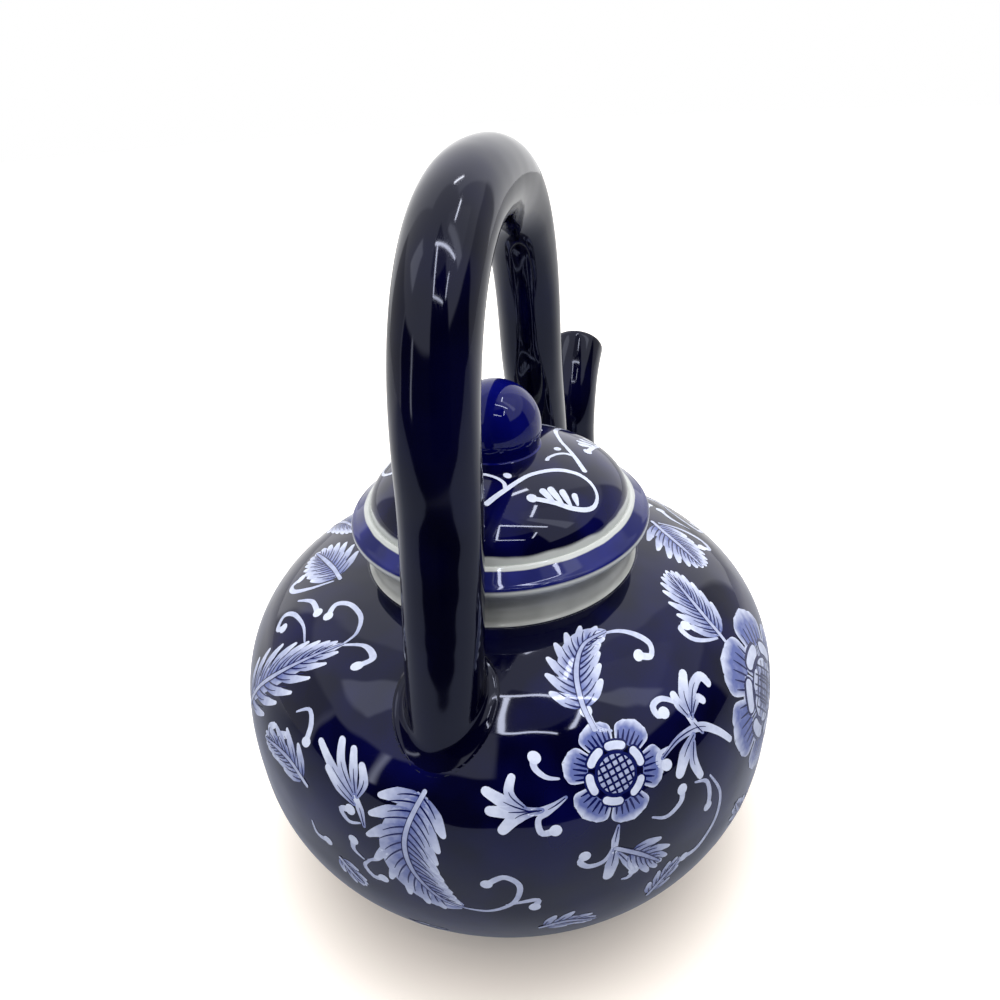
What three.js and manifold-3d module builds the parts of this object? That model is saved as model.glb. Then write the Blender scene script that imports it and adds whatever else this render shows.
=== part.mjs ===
import * as THREE from 'three';
import { mergeVertices } from 'three/addons/utils/BufferGeometryUtils.js';
import Module from 'manifold-3d';

const wasm = await Module();
wasm.setup();

// A squat porcelain teapot with an overhead handle, in millimetres and +Z up.
// It is drawn about its turning axis x = y = 0 on a table at z = 0. The spout points
// to +X, and the arch of the handle lies in the plane of the spout.

// Gap left between pieces that are luted together, and round the loose lid.
const lutingGap = 0.3;
const lidSeatGap = 0.3;

// The body, made in two halves that are luted together in a level seam above the belly. Its
// outline is two quarter curves that meet at the belly. A power of 2 is an ellipse, and a
// higher one gives the fuller shoulder.
const bellyRadius = 80;
const bellyDrop = 56.8;
const basePower = 2.16;
const shoulderRise = 55.2;
const shoulderWidthPower = 3.1;
const shoulderRisePower = 2.88;
const bodyWall = 4;
const floorThickness = 6;
const floorCove = 4;
const seamRise = 30;

// The turned foot ring, tapered to a narrow unglazed edge.
const footRadius = 46;
const footHeight = 10.2;
const footWallTop = 8;
const footWallEdge = 5;
const footEdgeRound = 1;

// The neck collar that carries the lid. Its rise is above the top of the shoulder curve, and
// the mouth of the body is narrower than its bore by a ledge.
const collarRadius = 36.8;
const collarWall = 3.4;
const collarRise = 8;
const collarWaist = 0.7;
const collarFillet = 1.6;
const mouthLedge = 1.4;

// The lid, its locating skirt and its knob. The rim stands out from the collar, and the dome
// rises from a beaded border.
const lidOverhang = 4.2;
const lidEdgeThickness = 3.6;
const lidBorderWidth = 5.1;
const lidBorderRise = 2.4;
const lidBeadHeight = 0.4;
const lidBeadWidth = 1.4;
const lidDomeRise = 16.6;
const domeWidthPower = 1.5;
const domeRisePower = 2.1;
const lidWall = 3.6;
const skirtClearance = 0.8;
const skirtWall = 3;
const skirtDepth = 7;
const knobRadius = 12.1;
const knobSeatRadius = 11;

// The overhead handle: two splayed legs that bend softly into an arch, so far apart that the
// lid's rim passes between them. The spring of the arch is so far above the top of the
// shoulder curve, and a splay is how far a leg leans out for each mm down. The far leg stands
// upright again below its knee, so that it lands on the shoulder.
const handleTubeRadius = 9.2;
const lidLegGap = 2.3;
const archSpringRise = 37.7;
const archRise = 53.3;
const archPower = 2.4;
const nearLegSplay = 0.259;
const farLegSplay = 0.393;
const farLegKnee = 34;
const legBend = 9;
const legLength = 35;
const handleRootFillet = 3.5;

// The spout: a tapered tube that leaves the body low, turns up to a neck and bends over at its
// tip. Reaches are out from the belly, rises above it, and angles above the horizon.
const spoutRootAngle = -2;
const spoutRootLift = 30;
const spoutRootPull = 13;
const spoutNeckReach = 41;
const spoutNeckRise = 38;
const spoutNeckLean = 86;
const spoutNeckPull = 19;
const spoutTipReach = 57.5;
const spoutTipRise = 64.5;
const spoutTipLean = 36;
const spoutRootRadius = 17;
const spoutNeckRadius = 10.2;
const spoutLipRadius = 10.9;
const spoutLipLength = 14;
const spoutWall = 3;
const spoutRootFillet = 5;
const spoutRootLength = 18;

// The pierced grid in the body wall behind the spout: one hole with a ring round it.
const strainerHoleRadius = 1.9;
const strainerRingRadius = 7;
const strainerRingCount = 6;
const strainerDrillLength = 24;
const strainerHoleSides = 12;

// How deep a root's solid runs into the body before the body is cut from it.
const rootOverlap = 2;

// How finely round shapes are faceted.
const turnSegments = 48;
const tubeSides = 20;
const outlineSteps = 11;
const handleSteps = 32;
const spoutRootSteps = 7;
const spoutTipSteps = 6;
const rootSteps = 2;
const filletSteps = 3;
const domeSteps = 6;
const knobSteps = 10;
const roundSteps = 4;
const edgeSteps = 2;
const meetHalvings = 24;

// Glaze colours as seen: near-black cobalt, a lighter cobalt, and a greyish white.
const glazes = {
  cobaltGround: { color: '#0a0a34', roughness: 0.08, metalness: 0 },
  cobaltTube: { color: '#070722', roughness: 0.08, metalness: 0 },
  cobaltLid: { color: '#14143f', roughness: 0.08, metalness: 0 },
  cobaltKnob: { color: '#1a1c6e', roughness: 0.08, metalness: 0 },
  clearWhite: { color: '#c3c6cc', roughness: 0.12, metalness: 0 },
  bareBiscuit: { color: '#d8cbb8', roughness: 0.7, metalness: 0 },
};

// Helpers for solids

// Merges shared corners and drops the flat triangles that a revolve leaves on its axis.
function weld(geometry) {
  const bare = geometry.clone();
  bare.deleteAttribute('normal');
  bare.deleteAttribute('uv');
  const merged = mergeVertices(bare, 1e-4);
  const corners = merged.getIndex().array;
  const kept = [];
  for (let i = 0; i < corners.length; i += 3) {
    const [a, b, c] = [corners[i], corners[i + 1], corners[i + 2]];
    if (a !== b && b !== c && c !== a) kept.push(a, b, c);
  }
  merged.setIndex(kept);
  return merged;
}

function toSolid(geometry) {
  const welded = weld(geometry);
  return new wasm.Manifold(new wasm.Mesh({
    numProp: 3,
    vertProperties: new Float32Array(welded.getAttribute('position').array),
    triVerts: new Uint32Array(welded.getIndex().array),
  }));
}

function toGeometry(solid) {
  const mesh = solid.getMesh();
  const geometry = new THREE.BufferGeometry();
  geometry.setAttribute('position', new THREE.BufferAttribute(mesh.vertProperties, 3));
  geometry.setIndex(new THREE.BufferAttribute(mesh.triVerts, 1));
  return geometry;
}

// Turns a profile of [radius, height] points about the pot's axis. The profile runs up the
// outside and down the inside.
function turned(profile) {
  const points = profile.map(([radius, height]) => new THREE.Vector2(radius, height));
  return new THREE.LatheGeometry(points, turnSegments).rotateX(Math.PI / 2);
}

// Points on a round of a turned profile, from one angle in degrees to another.
function arc(centreRadius, centreHeight, radius, fromDegrees, toDegrees, steps) {
  const points = [];
  for (let i = 0; i <= steps; i += 1) {
    const angle = THREE.MathUtils.degToRad(THREE.MathUtils.lerp(fromDegrees, toDegrees, i / steps));
    points.push([centreRadius + radius * Math.cos(angle), centreHeight + radius * Math.sin(angle)]);
  }
  return points;
}

// The body's outline

const collarInnerRadius = collarRadius - collarWall;
const mouthRadius = collarInnerRadius - mouthLedge;

function baseAngleAt(radius) {
  return THREE.MathUtils.radToDeg(Math.acos((radius / bellyRadius) ** (basePower / 2)));
}

function baseDropAt(degrees) {
  return bellyDrop * Math.sin(THREE.MathUtils.degToRad(degrees)) ** (2 / basePower);
}

// The base curve comes down onto the top of the foot ring.
const bellyHeight = footHeight + baseDropAt(baseAngleAt(footRadius));
const shoulderTop = bellyHeight + shoulderRise;

// A point of the shoulder curve, from 0 at the belly to 90 degrees at the top.
function shoulderPoint(degrees) {
  const angle = THREE.MathUtils.degToRad(degrees);
  return [
    bellyRadius * Math.cos(angle) ** (2 / shoulderWidthPower),
    bellyHeight + shoulderRise * Math.sin(angle) ** (2 / shoulderRisePower),
  ];
}

// A point of the base curve, from 0 at the belly to 90 degrees at the bottom.
function basePoint(degrees) {
  const share = Math.cos(THREE.MathUtils.degToRad(degrees));
  return [bellyRadius * share ** (2 / basePower), bellyHeight - baseDropAt(degrees)];
}

function shoulderAngleAt(radius) {
  return THREE.MathUtils.radToDeg(Math.acos((radius / bellyRadius) ** (shoulderWidthPower / 2)));
}

function shoulderHeightAt(radius) {
  return shoulderPoint(shoulderAngleAt(radius))[1];
}

// The outline from one radius on the base to one on the shoulder.
function bodyOutline(lowRadius, highRadius, steps) {
  const points = [];
  const low = baseAngleAt(lowRadius);
  const high = shoulderAngleAt(highRadius);
  for (let i = 0; i < steps; i += 1) points.push(basePoint(low * (1 - i / steps)));
  for (let i = 0; i <= steps; i += 1) points.push(shoulderPoint(high * (i / steps)));
  return points;
}

// Moves a profile along its own normals, outwards for a positive distance.
function offsetProfile(profile, distance) {
  return profile.map(([radius, height], i) => {
    const before = profile[Math.max(i - 1, 0)];
    const after = profile[Math.min(i + 1, profile.length - 1)];
    const run = [after[0] - before[0], after[1] - before[1]];
    const length = Math.hypot(run[0], run[1]);
    return [radius + distance * run[1] / length, height - distance * run[0] / length];
  });
}

// The nearest place on the outside of the body: how far off it a point is, less than 0 inside,
// and the way that leads straight off it there.
const outlineForDistance = bodyOutline(footRadius, 1, 60);
function offBody(point) {
  const radius = Math.hypot(point.x, point.y);
  let nearest = Infinity;
  let found = null;
  for (let i = 1; i < outlineForDistance.length; i += 1) {
    const [r0, z0] = outlineForDistance[i - 1];
    const [r1, z1] = outlineForDistance[i];
    const run = [r1 - r0, z1 - z0];
    const length = Math.hypot(run[0], run[1]);
    const along = ((radius - r0) * run[0] + (point.z - z0) * run[1]) / length ** 2;
    const t = THREE.MathUtils.clamp(along, 0, 1);
    const away = [radius - r0 - t * run[0], point.z - z0 - t * run[1]];
    const gap = Math.hypot(away[0], away[1]);
    if (gap < nearest) {
      const side = [run[1] / length, -run[0] / length];
      nearest = gap;
      found = { distance: gap * Math.sign(away[0] * side[0] + away[1] * side[1]), side };
    }
  }
  const [across, up] = found.side;
  const way = new THREE.Vector3(across * point.x / radius, across * point.y / radius, up);
  return { distance: found.distance, way };
}

// The body as one filled solid, grown by the gap that luted pieces keep to it.
function bodyEnvelope() {
  const grown = offsetProfile(bodyOutline(footRadius, mouthRadius, outlineSteps * 2), lutingGap);
  const top = grown[grown.length - 1][1];
  return toSolid(turned([[0, grown[0][1]], ...grown, [mouthRadius, top], [0, top]]));
}

// Tubes along a path in the plane of the spout

// A ring of points round a path, square to it.
function ringAt(path, t, radius) {
  const centre = path.getPoint(t);
  const tangent = path.getTangent(t);
  const across = new THREE.Vector3(0, 1, 0);
  const out = new THREE.Vector3().crossVectors(tangent, across);
  const ring = [];
  for (let k = 0; k < tubeSides; k += 1) {
    const turn = (k / tubeSides) * Math.PI * 2;
    const way = across.clone().multiplyScalar(Math.cos(turn)).addScaledVector(out, Math.sin(turn));
    ring.push(centre.clone().addScaledVector(way, radius));
  }
  return ring;
}

// Goes straight on from a point until it meets the body.
function meetBody(start, way) {
  let low = 0;
  let high = 1;
  while (high < bellyRadius && offBody(start.clone().addScaledVector(way, high)).distance > 0) high += 1;
  for (let i = 0; i < meetHalvings; i += 1) {
    const half = (low + high) / 2;
    if (offBody(start.clone().addScaledVector(way, half)).distance > 0) low = half;
    else high = half;
  }
  return start.clone().addScaledVector(way, high);
}

// The rings that carry a tube from its last square ring into the body. Each side runs straight
// on along the given way, then turns out into the wall in its own round, so the root follows
// the body's curve. The last ring lies inside the body. A fillet of 0 gives a bore, which ends
// where it meets the wall.
function rootRings(last, way, fillet) {
  const middle = last.reduce((sum, p) => sum.add(p), new THREE.Vector3()).divideScalar(last.length);
  const sides = last.map((start) => {
    const corner = meetBody(start, way);
    const wall = offBody(corner).way;
    const outwards = start.clone().sub(middle);
    outwards.addScaledVector(wall, -outwards.dot(wall)).normalize();
    const turnIn = corner.clone().addScaledVector(way, -fillet);
    const end = corner.clone().addScaledVector(outwards, fillet);
    const landing = offBody(end);
    end.addScaledVector(landing.way, -landing.distance);
    return { start, turnIn, corner, end, buried: end.clone().addScaledVector(landing.way, -rootOverlap) };
  });
  const rings = [];
  for (let i = 1; i <= rootSteps; i += 1) {
    rings.push(sides.map((s) => s.start.clone().lerp(s.turnIn, i / rootSteps)));
  }
  for (let i = 1; i <= filletSteps && fillet > 0; i += 1) {
    rings.push(sides.map((s) => {
      const curve = new THREE.QuadraticBezierCurve3(s.turnIn, s.corner, s.end);
      return curve.getPoint(i / filletSteps);
    }));
  }
  rings.push(sides.map((s) => s.buried));
  return rings;
}

// Joins rings into a skin. A closed chain, such as a bored tube, meets its own start, and an
// open one gets a flat cap at each end.
function skinRings(rings, closed) {
  const positions = rings.flat().flatMap((p) => [p.x, p.y, p.z]);
  const index = [];
  const last = closed ? rings.length : rings.length - 1;
  for (let i = 0; i < last; i += 1) {
    const here = i * tubeSides;
    const next = ((i + 1) % rings.length) * tubeSides;
    for (let k = 0; k < tubeSides; k += 1) {
      const turn = (k + 1) % tubeSides;
      index.push(here + k, here + turn, next + turn, here + k, next + turn, next + k);
    }
  }
  if (!closed) {
    const end = (rings.length - 1) * tubeSides;
    for (let k = 1; k < tubeSides - 1; k += 1) {
      index.push(0, k + 1, k);
      index.push(end, end + k, end + k + 1);
    }
  }
  const geometry = new THREE.BufferGeometry();
  geometry.setAttribute('position', new THREE.Float32BufferAttribute(positions, 3));
  geometry.setIndex(index);
  return geometry;
}

function cutByBody(geometry) {
  return toGeometry(toSolid(geometry).subtract(bodyEnvelope()));
}

// Body

// Where the middle of the spout meets the body.
const spoutRoot = (() => {
  const point = spoutRootAngle < 0 ? basePoint(-spoutRootAngle) : shoulderPoint(spoutRootAngle);
  return new THREE.Vector3(point[0], 0, point[1]);
})();

// One straight hole through the body wall, off the middle of the grid by so much.
function strainerHole(sideways, upwards) {
  const radius = strainerHoleRadius;
  const drill = new THREE.CylinderGeometry(radius, radius, strainerDrillLength, strainerHoleSides);
  drill.rotateZ(-Math.PI / 2);
  drill.translate(spoutRoot.x, sideways, spoutRoot.z + upwards);
  return toSolid(drill);
}

// The whole wall of the body, from the flat under its floor to the mouth, before it is parted.
const bodyWallSolid = (() => {
  const outside = bodyOutline(footRadius, mouthRadius, outlineSteps);
  const inside = offsetProfile(outside, -bodyWall).reverse();
  const floor = footHeight + floorThickness;
  const insideWall = inside.filter(([radius, height]) => radius > mouthRadius && height > floor);
  const lipUnder = [mouthRadius, insideWall[0][1]];
  const floorEdge = [insideWall[insideWall.length - 1][0] - floorCove, floor];
  return toSolid(turned([[0, footHeight], ...outside, lipUnder, ...insideWall, floorEdge, [0, floor]]));
})();
const seamHeight = bellyHeight + seamRise;

function bodyBowl() {
  let shell = bodyWallSolid.trimByPlane([0, 0, -1], -seamHeight);
  shell = shell.subtract(strainerHole(0, 0));
  for (let i = 0; i < strainerRingCount; i += 1) {
    const turn = (i / strainerRingCount) * Math.PI * 2;
    const sideways = strainerRingRadius * Math.cos(turn);
    const upwards = strainerRingRadius * Math.sin(turn);
    shell = shell.subtract(strainerHole(sideways, upwards));
  }
  return toGeometry(shell);
}

function bodyShoulder() {
  return toGeometry(bodyWallSolid.trimByPlane([0, 0, 1], seamHeight + lutingGap));
}

function footRing() {
  const inner = footRadius - footWallTop;
  const edgeMiddle = footRadius - footWallTop / 2;
  const outerCorner = edgeMiddle + footWallEdge / 2;
  const innerCorner = edgeMiddle - footWallEdge / 2;
  return turned([
    [outerCorner - footEdgeRound, 0],
    ...arc(outerCorner - footEdgeRound, footEdgeRound, footEdgeRound, -60, 0, edgeSteps),
    [footRadius, footHeight],
    [inner, footHeight],
    ...arc(innerCorner + footEdgeRound, footEdgeRound, footEdgeRound, 180, 240, edgeSteps),
    [innerCorner + footEdgeRound, 0],
    [outerCorner - footEdgeRound, 0],
  ]);
}

const collarTop = shoulderTop + collarRise;

function neckCollar() {
  const seat = (radius) => shoulderHeightAt(radius) + lutingGap;
  const foot = collarRadius + collarFillet;
  const rimRound = (collarRadius - collarInnerRadius) / 2;
  const rimMiddle = collarRadius - rimRound;
  const waistHeight = (seat(collarRadius) + collarTop) / 2;
  return turned([
    [collarInnerRadius, seat(collarInnerRadius)],
    [collarRadius, seat(collarRadius)],
    [foot, seat(foot)],
    [collarRadius, seat(collarRadius) + collarFillet],
    [collarRadius - collarWaist, waistHeight],
    ...arc(rimMiddle, collarTop - rimRound, rimRound, 0, 180, roundSteps),
    [collarInnerRadius, seat(collarInnerRadius)],
  ]);
}

// Lid

const lidRadius = collarRadius + lidOverhang;
const lidUnderside = collarTop + lidSeatGap;
const lidEdgeTop = lidUnderside + lidEdgeThickness;
const beadRadius = lidRadius - lidBorderWidth;
const beadTop = lidEdgeTop + lidBorderRise;
const skirtRadius = collarInnerRadius - skirtClearance;
const domeRadius = beadRadius - lidBeadWidth / 2;

// A point of the dome at an angle up from its rim.
function domePoint(radius, rise, height, degrees) {
  const angle = THREE.MathUtils.degToRad(degrees);
  return [
    radius * Math.max(Math.cos(angle), 0) ** (2 / domeWidthPower),
    height + rise * Math.sin(angle) ** (2 / domeRisePower),
  ];
}

const domeTop = beadTop + lidDomeRise;
const seatShare = (knobSeatRadius / domeRadius) ** (domeWidthPower / 2);
const knobSeatAngle = THREE.MathUtils.radToDeg(Math.acos(seatShare));
const knobSeat = domePoint(domeRadius, lidDomeRise, beadTop, knobSeatAngle)[1];

function lidCover() {
  const edgeRound = lidEdgeThickness / 2;
  const innerDomeRadius = skirtRadius - skirtWall;
  const innerDomeRise = domeTop - lidWall - lidUnderside;
  const outside = [];
  const inside = [];
  for (let i = 0; i <= domeSteps; i += 1) {
    outside.push(domePoint(domeRadius, lidDomeRise, beadTop, (knobSeatAngle * i) / domeSteps));
    inside.push(domePoint(innerDomeRadius, innerDomeRise, lidUnderside, (90 * i) / domeSteps));
  }
  return turned([
    ...inside.reverse(),
    ...arc(lidRadius - edgeRound, lidUnderside + edgeRound, edgeRound, -90, 70, roundSteps),
    [beadRadius + lidBeadWidth / 2, beadTop],
    [beadRadius, beadTop + lidBeadHeight],
    ...outside,
    [0, knobSeat],
  ]);
}

function lidSkirt() {
  const bottom = lidUnderside - skirtDepth;
  const inner = skirtRadius - skirtWall;
  const edgeRound = skirtWall / 3;
  return turned([
    [inner + edgeRound, bottom],
    ...arc(skirtRadius - edgeRound, bottom + edgeRound, edgeRound, -90, 0, edgeSteps),
    [skirtRadius, lidUnderside],
    [inner, lidUnderside],
    ...arc(inner + edgeRound, bottom + edgeRound, edgeRound, 180, 270, edgeSteps),
  ]);
}

function lidKnob() {
  const seatAngle = THREE.MathUtils.radToDeg(Math.acos(knobSeatRadius / knobRadius));
  const centre = knobSeat + Math.sqrt(knobRadius ** 2 - knobSeatRadius ** 2);
  return turned([[0, knobSeat], ...arc(0, centre, knobRadius, -seatAngle, 90, knobSteps)]);
}

// Handle

const archSpring = shoulderTop + archSpringRise;

// How far a leg leans out at a drop below the spring. The side is -1 for the near leg.
function legLean(side, drop) {
  const eased = (length) => (Math.hypot(length, legBend) + length) / 2;
  if (side < 0) return nearLegSplay * eased(drop);
  return farLegSplay * (eased(drop) - eased(drop - farLegKnee));
}

// Half the width of the arch at its spring, for which the lid's rim clears the near leg.
const archHalfWidth = (() => {
  const drop = archSpring - lidUnderside - lidEdgeThickness / 2;
  const tubeAcross = handleTubeRadius * Math.hypot(1, nearLegSplay);
  return lidRadius + lidLegGap + tubeAcross - legLean(-1, drop);
})();

// The middle line of the handle, from low on the near leg over the arch to low on the far one.
class HandlePath extends THREE.Curve {
  getPoint(t, target = new THREE.Vector3()) {
    const archLength = 2 * (archHalfWidth + archRise);
    const run = t * (archLength + 2 * legLength) - legLength;
    if (run < 0) return this.placed(-1, -run, target);
    if (run > archLength) return this.placed(1, run - archLength, target);
    const angle = (run / archLength) * Math.PI;
    const across = -Math.sign(Math.cos(angle)) * Math.abs(Math.cos(angle)) ** (2 / archPower);
    return this.placed(across, -archRise * Math.sin(angle) ** (2 / archPower), target);
  }

  // A point at a share of the half width, so far below the spring, or above it if less than 0.
  placed(across, drop, target) {
    return target.set(across * (archHalfWidth + legLean(across, drop)), 0, archSpring - drop);
  }
}

function handleArch() {
  const path = new HandlePath();
  const rings = [];
  for (let i = 0; i <= handleSteps; i += 1) rings.push(ringAt(path, i / handleSteps, handleTubeRadius));
  const nearRoot = rootRings(rings[0], path.getTangent(0).negate(), handleRootFillet).reverse();
  const farRoot = rootRings(rings[handleSteps], path.getTangent(1), handleRootFillet);
  return cutByBody(skinRings([...nearRoot, ...rings, ...farRoot], false));
}

// Spout

// A point on a lifted way, in the plane of the spout.
function wayUp(degrees) {
  const angle = THREE.MathUtils.degToRad(degrees);
  return new THREE.Vector3(Math.cos(angle), 0, Math.sin(angle));
}

// The middle line of the spout in two curves that meet smoothly at its neck.
function spoutPaths() {
  const rootWay = wayUp(spoutRootLift);
  const neckWay = wayUp(spoutNeckLean);
  const tipWay = wayUp(spoutTipLean);
  const start = spoutRoot.clone().addScaledVector(rootWay, spoutRootLength);
  const neck = new THREE.Vector3(bellyRadius + spoutNeckReach, 0, bellyHeight + spoutNeckRise);
  const tip = new THREE.Vector3(bellyRadius + spoutTipReach, 0, bellyHeight + spoutTipRise);
  const tipPull = neck.distanceTo(tip) / 3;
  return [
    new THREE.CubicBezierCurve3(
      start,
      start.clone().addScaledVector(rootWay, spoutRootPull),
      neck.clone().addScaledVector(neckWay, -spoutNeckPull),
      neck,
    ),
    new THREE.CubicBezierCurve3(
      neck,
      neck.clone().addScaledVector(neckWay, tipPull),
      tip.clone().addScaledVector(tipWay, -tipPull),
      tip,
    ),
  ];
}

// Square rings along the spout from just off the body to the tip, drawn in by so much.
function spoutRings(inset) {
  const [lower, upper] = spoutPaths();
  const lipShare = spoutLipLength / upper.getLength();
  const rings = [];
  for (let i = 0; i < spoutRootSteps; i += 1) {
    const t = i / spoutRootSteps;
    const share = (1 + Math.cos(t * Math.PI)) / 2;
    const radius = THREE.MathUtils.lerp(spoutNeckRadius, spoutRootRadius, share);
    rings.push(ringAt(lower, t, radius - inset));
  }
  for (let i = 0; i <= spoutTipSteps; i += 1) {
    const t = i / spoutTipSteps;
    const flare = (spoutLipRadius - spoutNeckRadius) * Math.max(0, 1 - (1 - t) / lipShare);
    rings.push(ringAt(upper, t, spoutNeckRadius + flare - inset));
  }
  return rings;
}

function spout() {
  const outside = spoutRings(0);
  const bore = spoutRings(spoutWall);
  const rootWay = wayUp(spoutRootLift).negate();
  const tipWay = wayUp(spoutTipLean);
  const root = rootRings(outside[0], rootWay, spoutRootFillet).reverse();
  const boreRoot = rootRings(bore[0], rootWay, 0);
  const lip = outside[outside.length - 1].map((point, k) => {
    const middle = point.clone().lerp(bore[bore.length - 1][k], 0.5);
    return middle.addScaledVector(tipWay, spoutWall / 2);
  });
  return cutByBody(skinRings([...root, ...outside, lip, ...bore.reverse(), ...boreRoot], true));
}

// Assembly

function piece(name, geometry, glaze) {
  const mesh = new THREE.Mesh(geometry, new THREE.MeshStandardMaterial({ name, ...glaze }));
  mesh.name = name;
  return mesh;
}

const pot = new THREE.Group();
pot.add(
  piece('body_bowl', bodyBowl(), glazes.cobaltGround),
  piece('body_shoulder', bodyShoulder(), glazes.cobaltGround),
  piece('foot_ring', footRing(), glazes.bareBiscuit),
  piece('neck_collar', neckCollar(), glazes.clearWhite),
  piece('spout', spout(), glazes.cobaltTube),
  piece('handle_arch', handleArch(), glazes.cobaltTube),
);

const lid = new THREE.Group();
lid.add(
  piece('lid_cover', lidCover(), glazes.cobaltLid),
  piece('lid_skirt', lidSkirt(), glazes.clearWhite),
  piece('lid_knob', lidKnob(), glazes.cobaltKnob),
);

// The origin is on the table, under the middle of the outline seen from above.
const teapot = new THREE.Group();
teapot.add(pot, lid);
const outline = new THREE.Box3().setFromObject(teapot);
const middle = outline.getCenter(new THREE.Vector3());
teapot.position.set(-middle.x, -middle.y, 0);

export default teapot;
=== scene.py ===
# Blue and white porcelain teapot with an overhead handle, in metres and +Z up.
# The pot turns about a vertical axis and the spout points to +X. Geometry Nodes bend the
# handle and spout onto the body and lay the printed flowers, leaves and scrolls on it.
import math

import bpy
from mathutils import Matrix, Vector


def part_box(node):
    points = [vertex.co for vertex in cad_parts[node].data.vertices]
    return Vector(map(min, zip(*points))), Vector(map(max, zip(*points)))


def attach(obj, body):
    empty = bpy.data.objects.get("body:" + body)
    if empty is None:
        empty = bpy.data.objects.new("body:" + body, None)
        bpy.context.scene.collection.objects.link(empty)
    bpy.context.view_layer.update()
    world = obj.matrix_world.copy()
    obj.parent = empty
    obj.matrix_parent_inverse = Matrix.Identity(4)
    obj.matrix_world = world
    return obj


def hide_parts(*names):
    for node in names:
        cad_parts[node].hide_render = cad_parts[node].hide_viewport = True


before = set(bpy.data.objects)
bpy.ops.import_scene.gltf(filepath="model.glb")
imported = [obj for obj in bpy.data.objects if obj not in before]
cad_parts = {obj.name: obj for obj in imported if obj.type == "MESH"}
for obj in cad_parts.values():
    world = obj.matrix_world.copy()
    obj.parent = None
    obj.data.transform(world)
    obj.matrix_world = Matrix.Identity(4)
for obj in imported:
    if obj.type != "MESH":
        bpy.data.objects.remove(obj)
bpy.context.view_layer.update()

mm = 0.001
footLow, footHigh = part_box("foot_ring")
axisX = (footLow.x + footHigh.x) / 2  # the pot's turning axis
scene = bpy.context.scene
scene.view_settings.view_transform = "Standard"


# Small helpers

def colour(hexValue):
    channels = [int(hexValue[i:i + 2], 16) / 255 for i in (1, 3, 5)]
    linear = [c / 12.92 if c <= 0.04045 else ((c + 0.055) / 1.055) ** 2.4 for c in channels]
    return (*linear, 1.0)


def mix(a, b, share):
    return a + (b - a) * share


def clamp(value):
    return min(1.0, max(0.0, value))


# Adds a node with its settings and gives its outputs. An input is given by name or number.
# A socket as its value is linked, and so is each socket of a list.
def addNode(tree, kind, inputs=None, **settings):
    made = tree.nodes.new(kind)
    for name, value in settings.items():
        setattr(made, name, value)
    for name, value in (inputs or {}).items():
        sources = value if isinstance(value, list) else [value]
        if isinstance(sources[0], bpy.types.NodeSocket):
            for source in sources:
                tree.links.new(source, made.inputs[name])
        else:
            made.inputs[name].default_value = value
    return made.outputs


def newObject(name, data):
    made = bpy.data.objects.new(name, data)
    scene.collection.objects.link(made)
    return made


def meshObject(name, points, faces, materials=(), smooth=True):
    mesh = bpy.data.meshes.new(name)
    mesh.from_pydata(points, [], faces)
    mesh.validate()
    for material in materials:
        mesh.materials.append(material)
    if smooth:
        mesh.shade_smooth()
    return newObject(name, mesh)


# Turns an outline of (radius, height) in mm about the pot's axis. The outline runs up
# the outside, so that faces point outwards. Each stretch may have its own material number.
def turnedPiece(name, outline, materials, segments=192, closed=False, zones=None):
    points, faces, numbers = [], [], []
    rows = []
    for radius, height in outline:
        if radius < 1e-6:
            rows.append([len(points)] * segments)
            points.append((axisX, 0.0, height * mm))
            continue
        row = []
        for k in range(segments):
            turn = 2 * math.pi * k / segments
            row.append(len(points))
            across, aside = radius * math.cos(turn), radius * math.sin(turn)
            points.append((axisX + across * mm, aside * mm, height * mm))
        rows.append(row)
    spans = len(rows) if closed else len(rows) - 1
    for i in range(spans):
        low, high = rows[i], rows[(i + 1) % len(rows)]
        for k in range(segments):
            n = (k + 1) % segments
            corners = [low[k], low[n], high[n], high[k]]
            face = [c for j, c in enumerate(corners) if c not in corners[:j]]
            if len(face) > 2:
                faces.append(face)
                numbers.append(zones(i) if zones else 0)
    made = meshObject(name, points, faces, materials)
    made.data.polygons.foreach_set("material_index", numbers)
    return made


# Points of a round in an outline, from one angle in degrees to another.
def roundOff(centreRadius, centreHeight, radius, start, end, steps=6):
    angles = [math.radians(mix(start, end, i / steps)) for i in range(steps + 1)]
    return [(centreRadius + radius * math.cos(a), centreHeight + radius * math.sin(a)) for a in angles]


# Evenly spaced points on a flat curve given by its points.
def evenly(points, step):
    lengths = [0.0]
    for a, b in zip(points, points[1:]):
        lengths.append(lengths[-1] + math.dist(a, b))
    count = max(2, round(lengths[-1] / step))
    made, at = [], 0
    for i in range(count + 1):
        goal = lengths[-1] * i / count
        while at < len(lengths) - 2 and lengths[at + 1] < goal:
            at += 1
        share = (goal - lengths[at]) / max(lengths[at + 1] - lengths[at], 1e-9)
        made.append(tuple(mix(a, b, share) for a, b in zip(points[at], points[at + 1])))
    return made


# Turns a Geometry Nodes result into a plain mesh and takes its modifier away.
def bakeModifiers(piece):
    graph = bpy.context.evaluated_depsgraph_get()
    made = bpy.data.meshes.new_from_object(piece.evaluated_get(graph))
    piece.modifiers.clear()
    piece.data = made
    made.name = piece.name
    return piece


def addModifier(piece, tree, values):
    modifier = piece.modifiers.new(tree.name, "NODES")
    modifier.node_group = tree
    for item in tree.interface.items_tree:
        if item.item_type == "SOCKET" and item.in_out == "INPUT" and item.name in values:
            modifier[item.identifier] = values[item.name]


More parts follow.
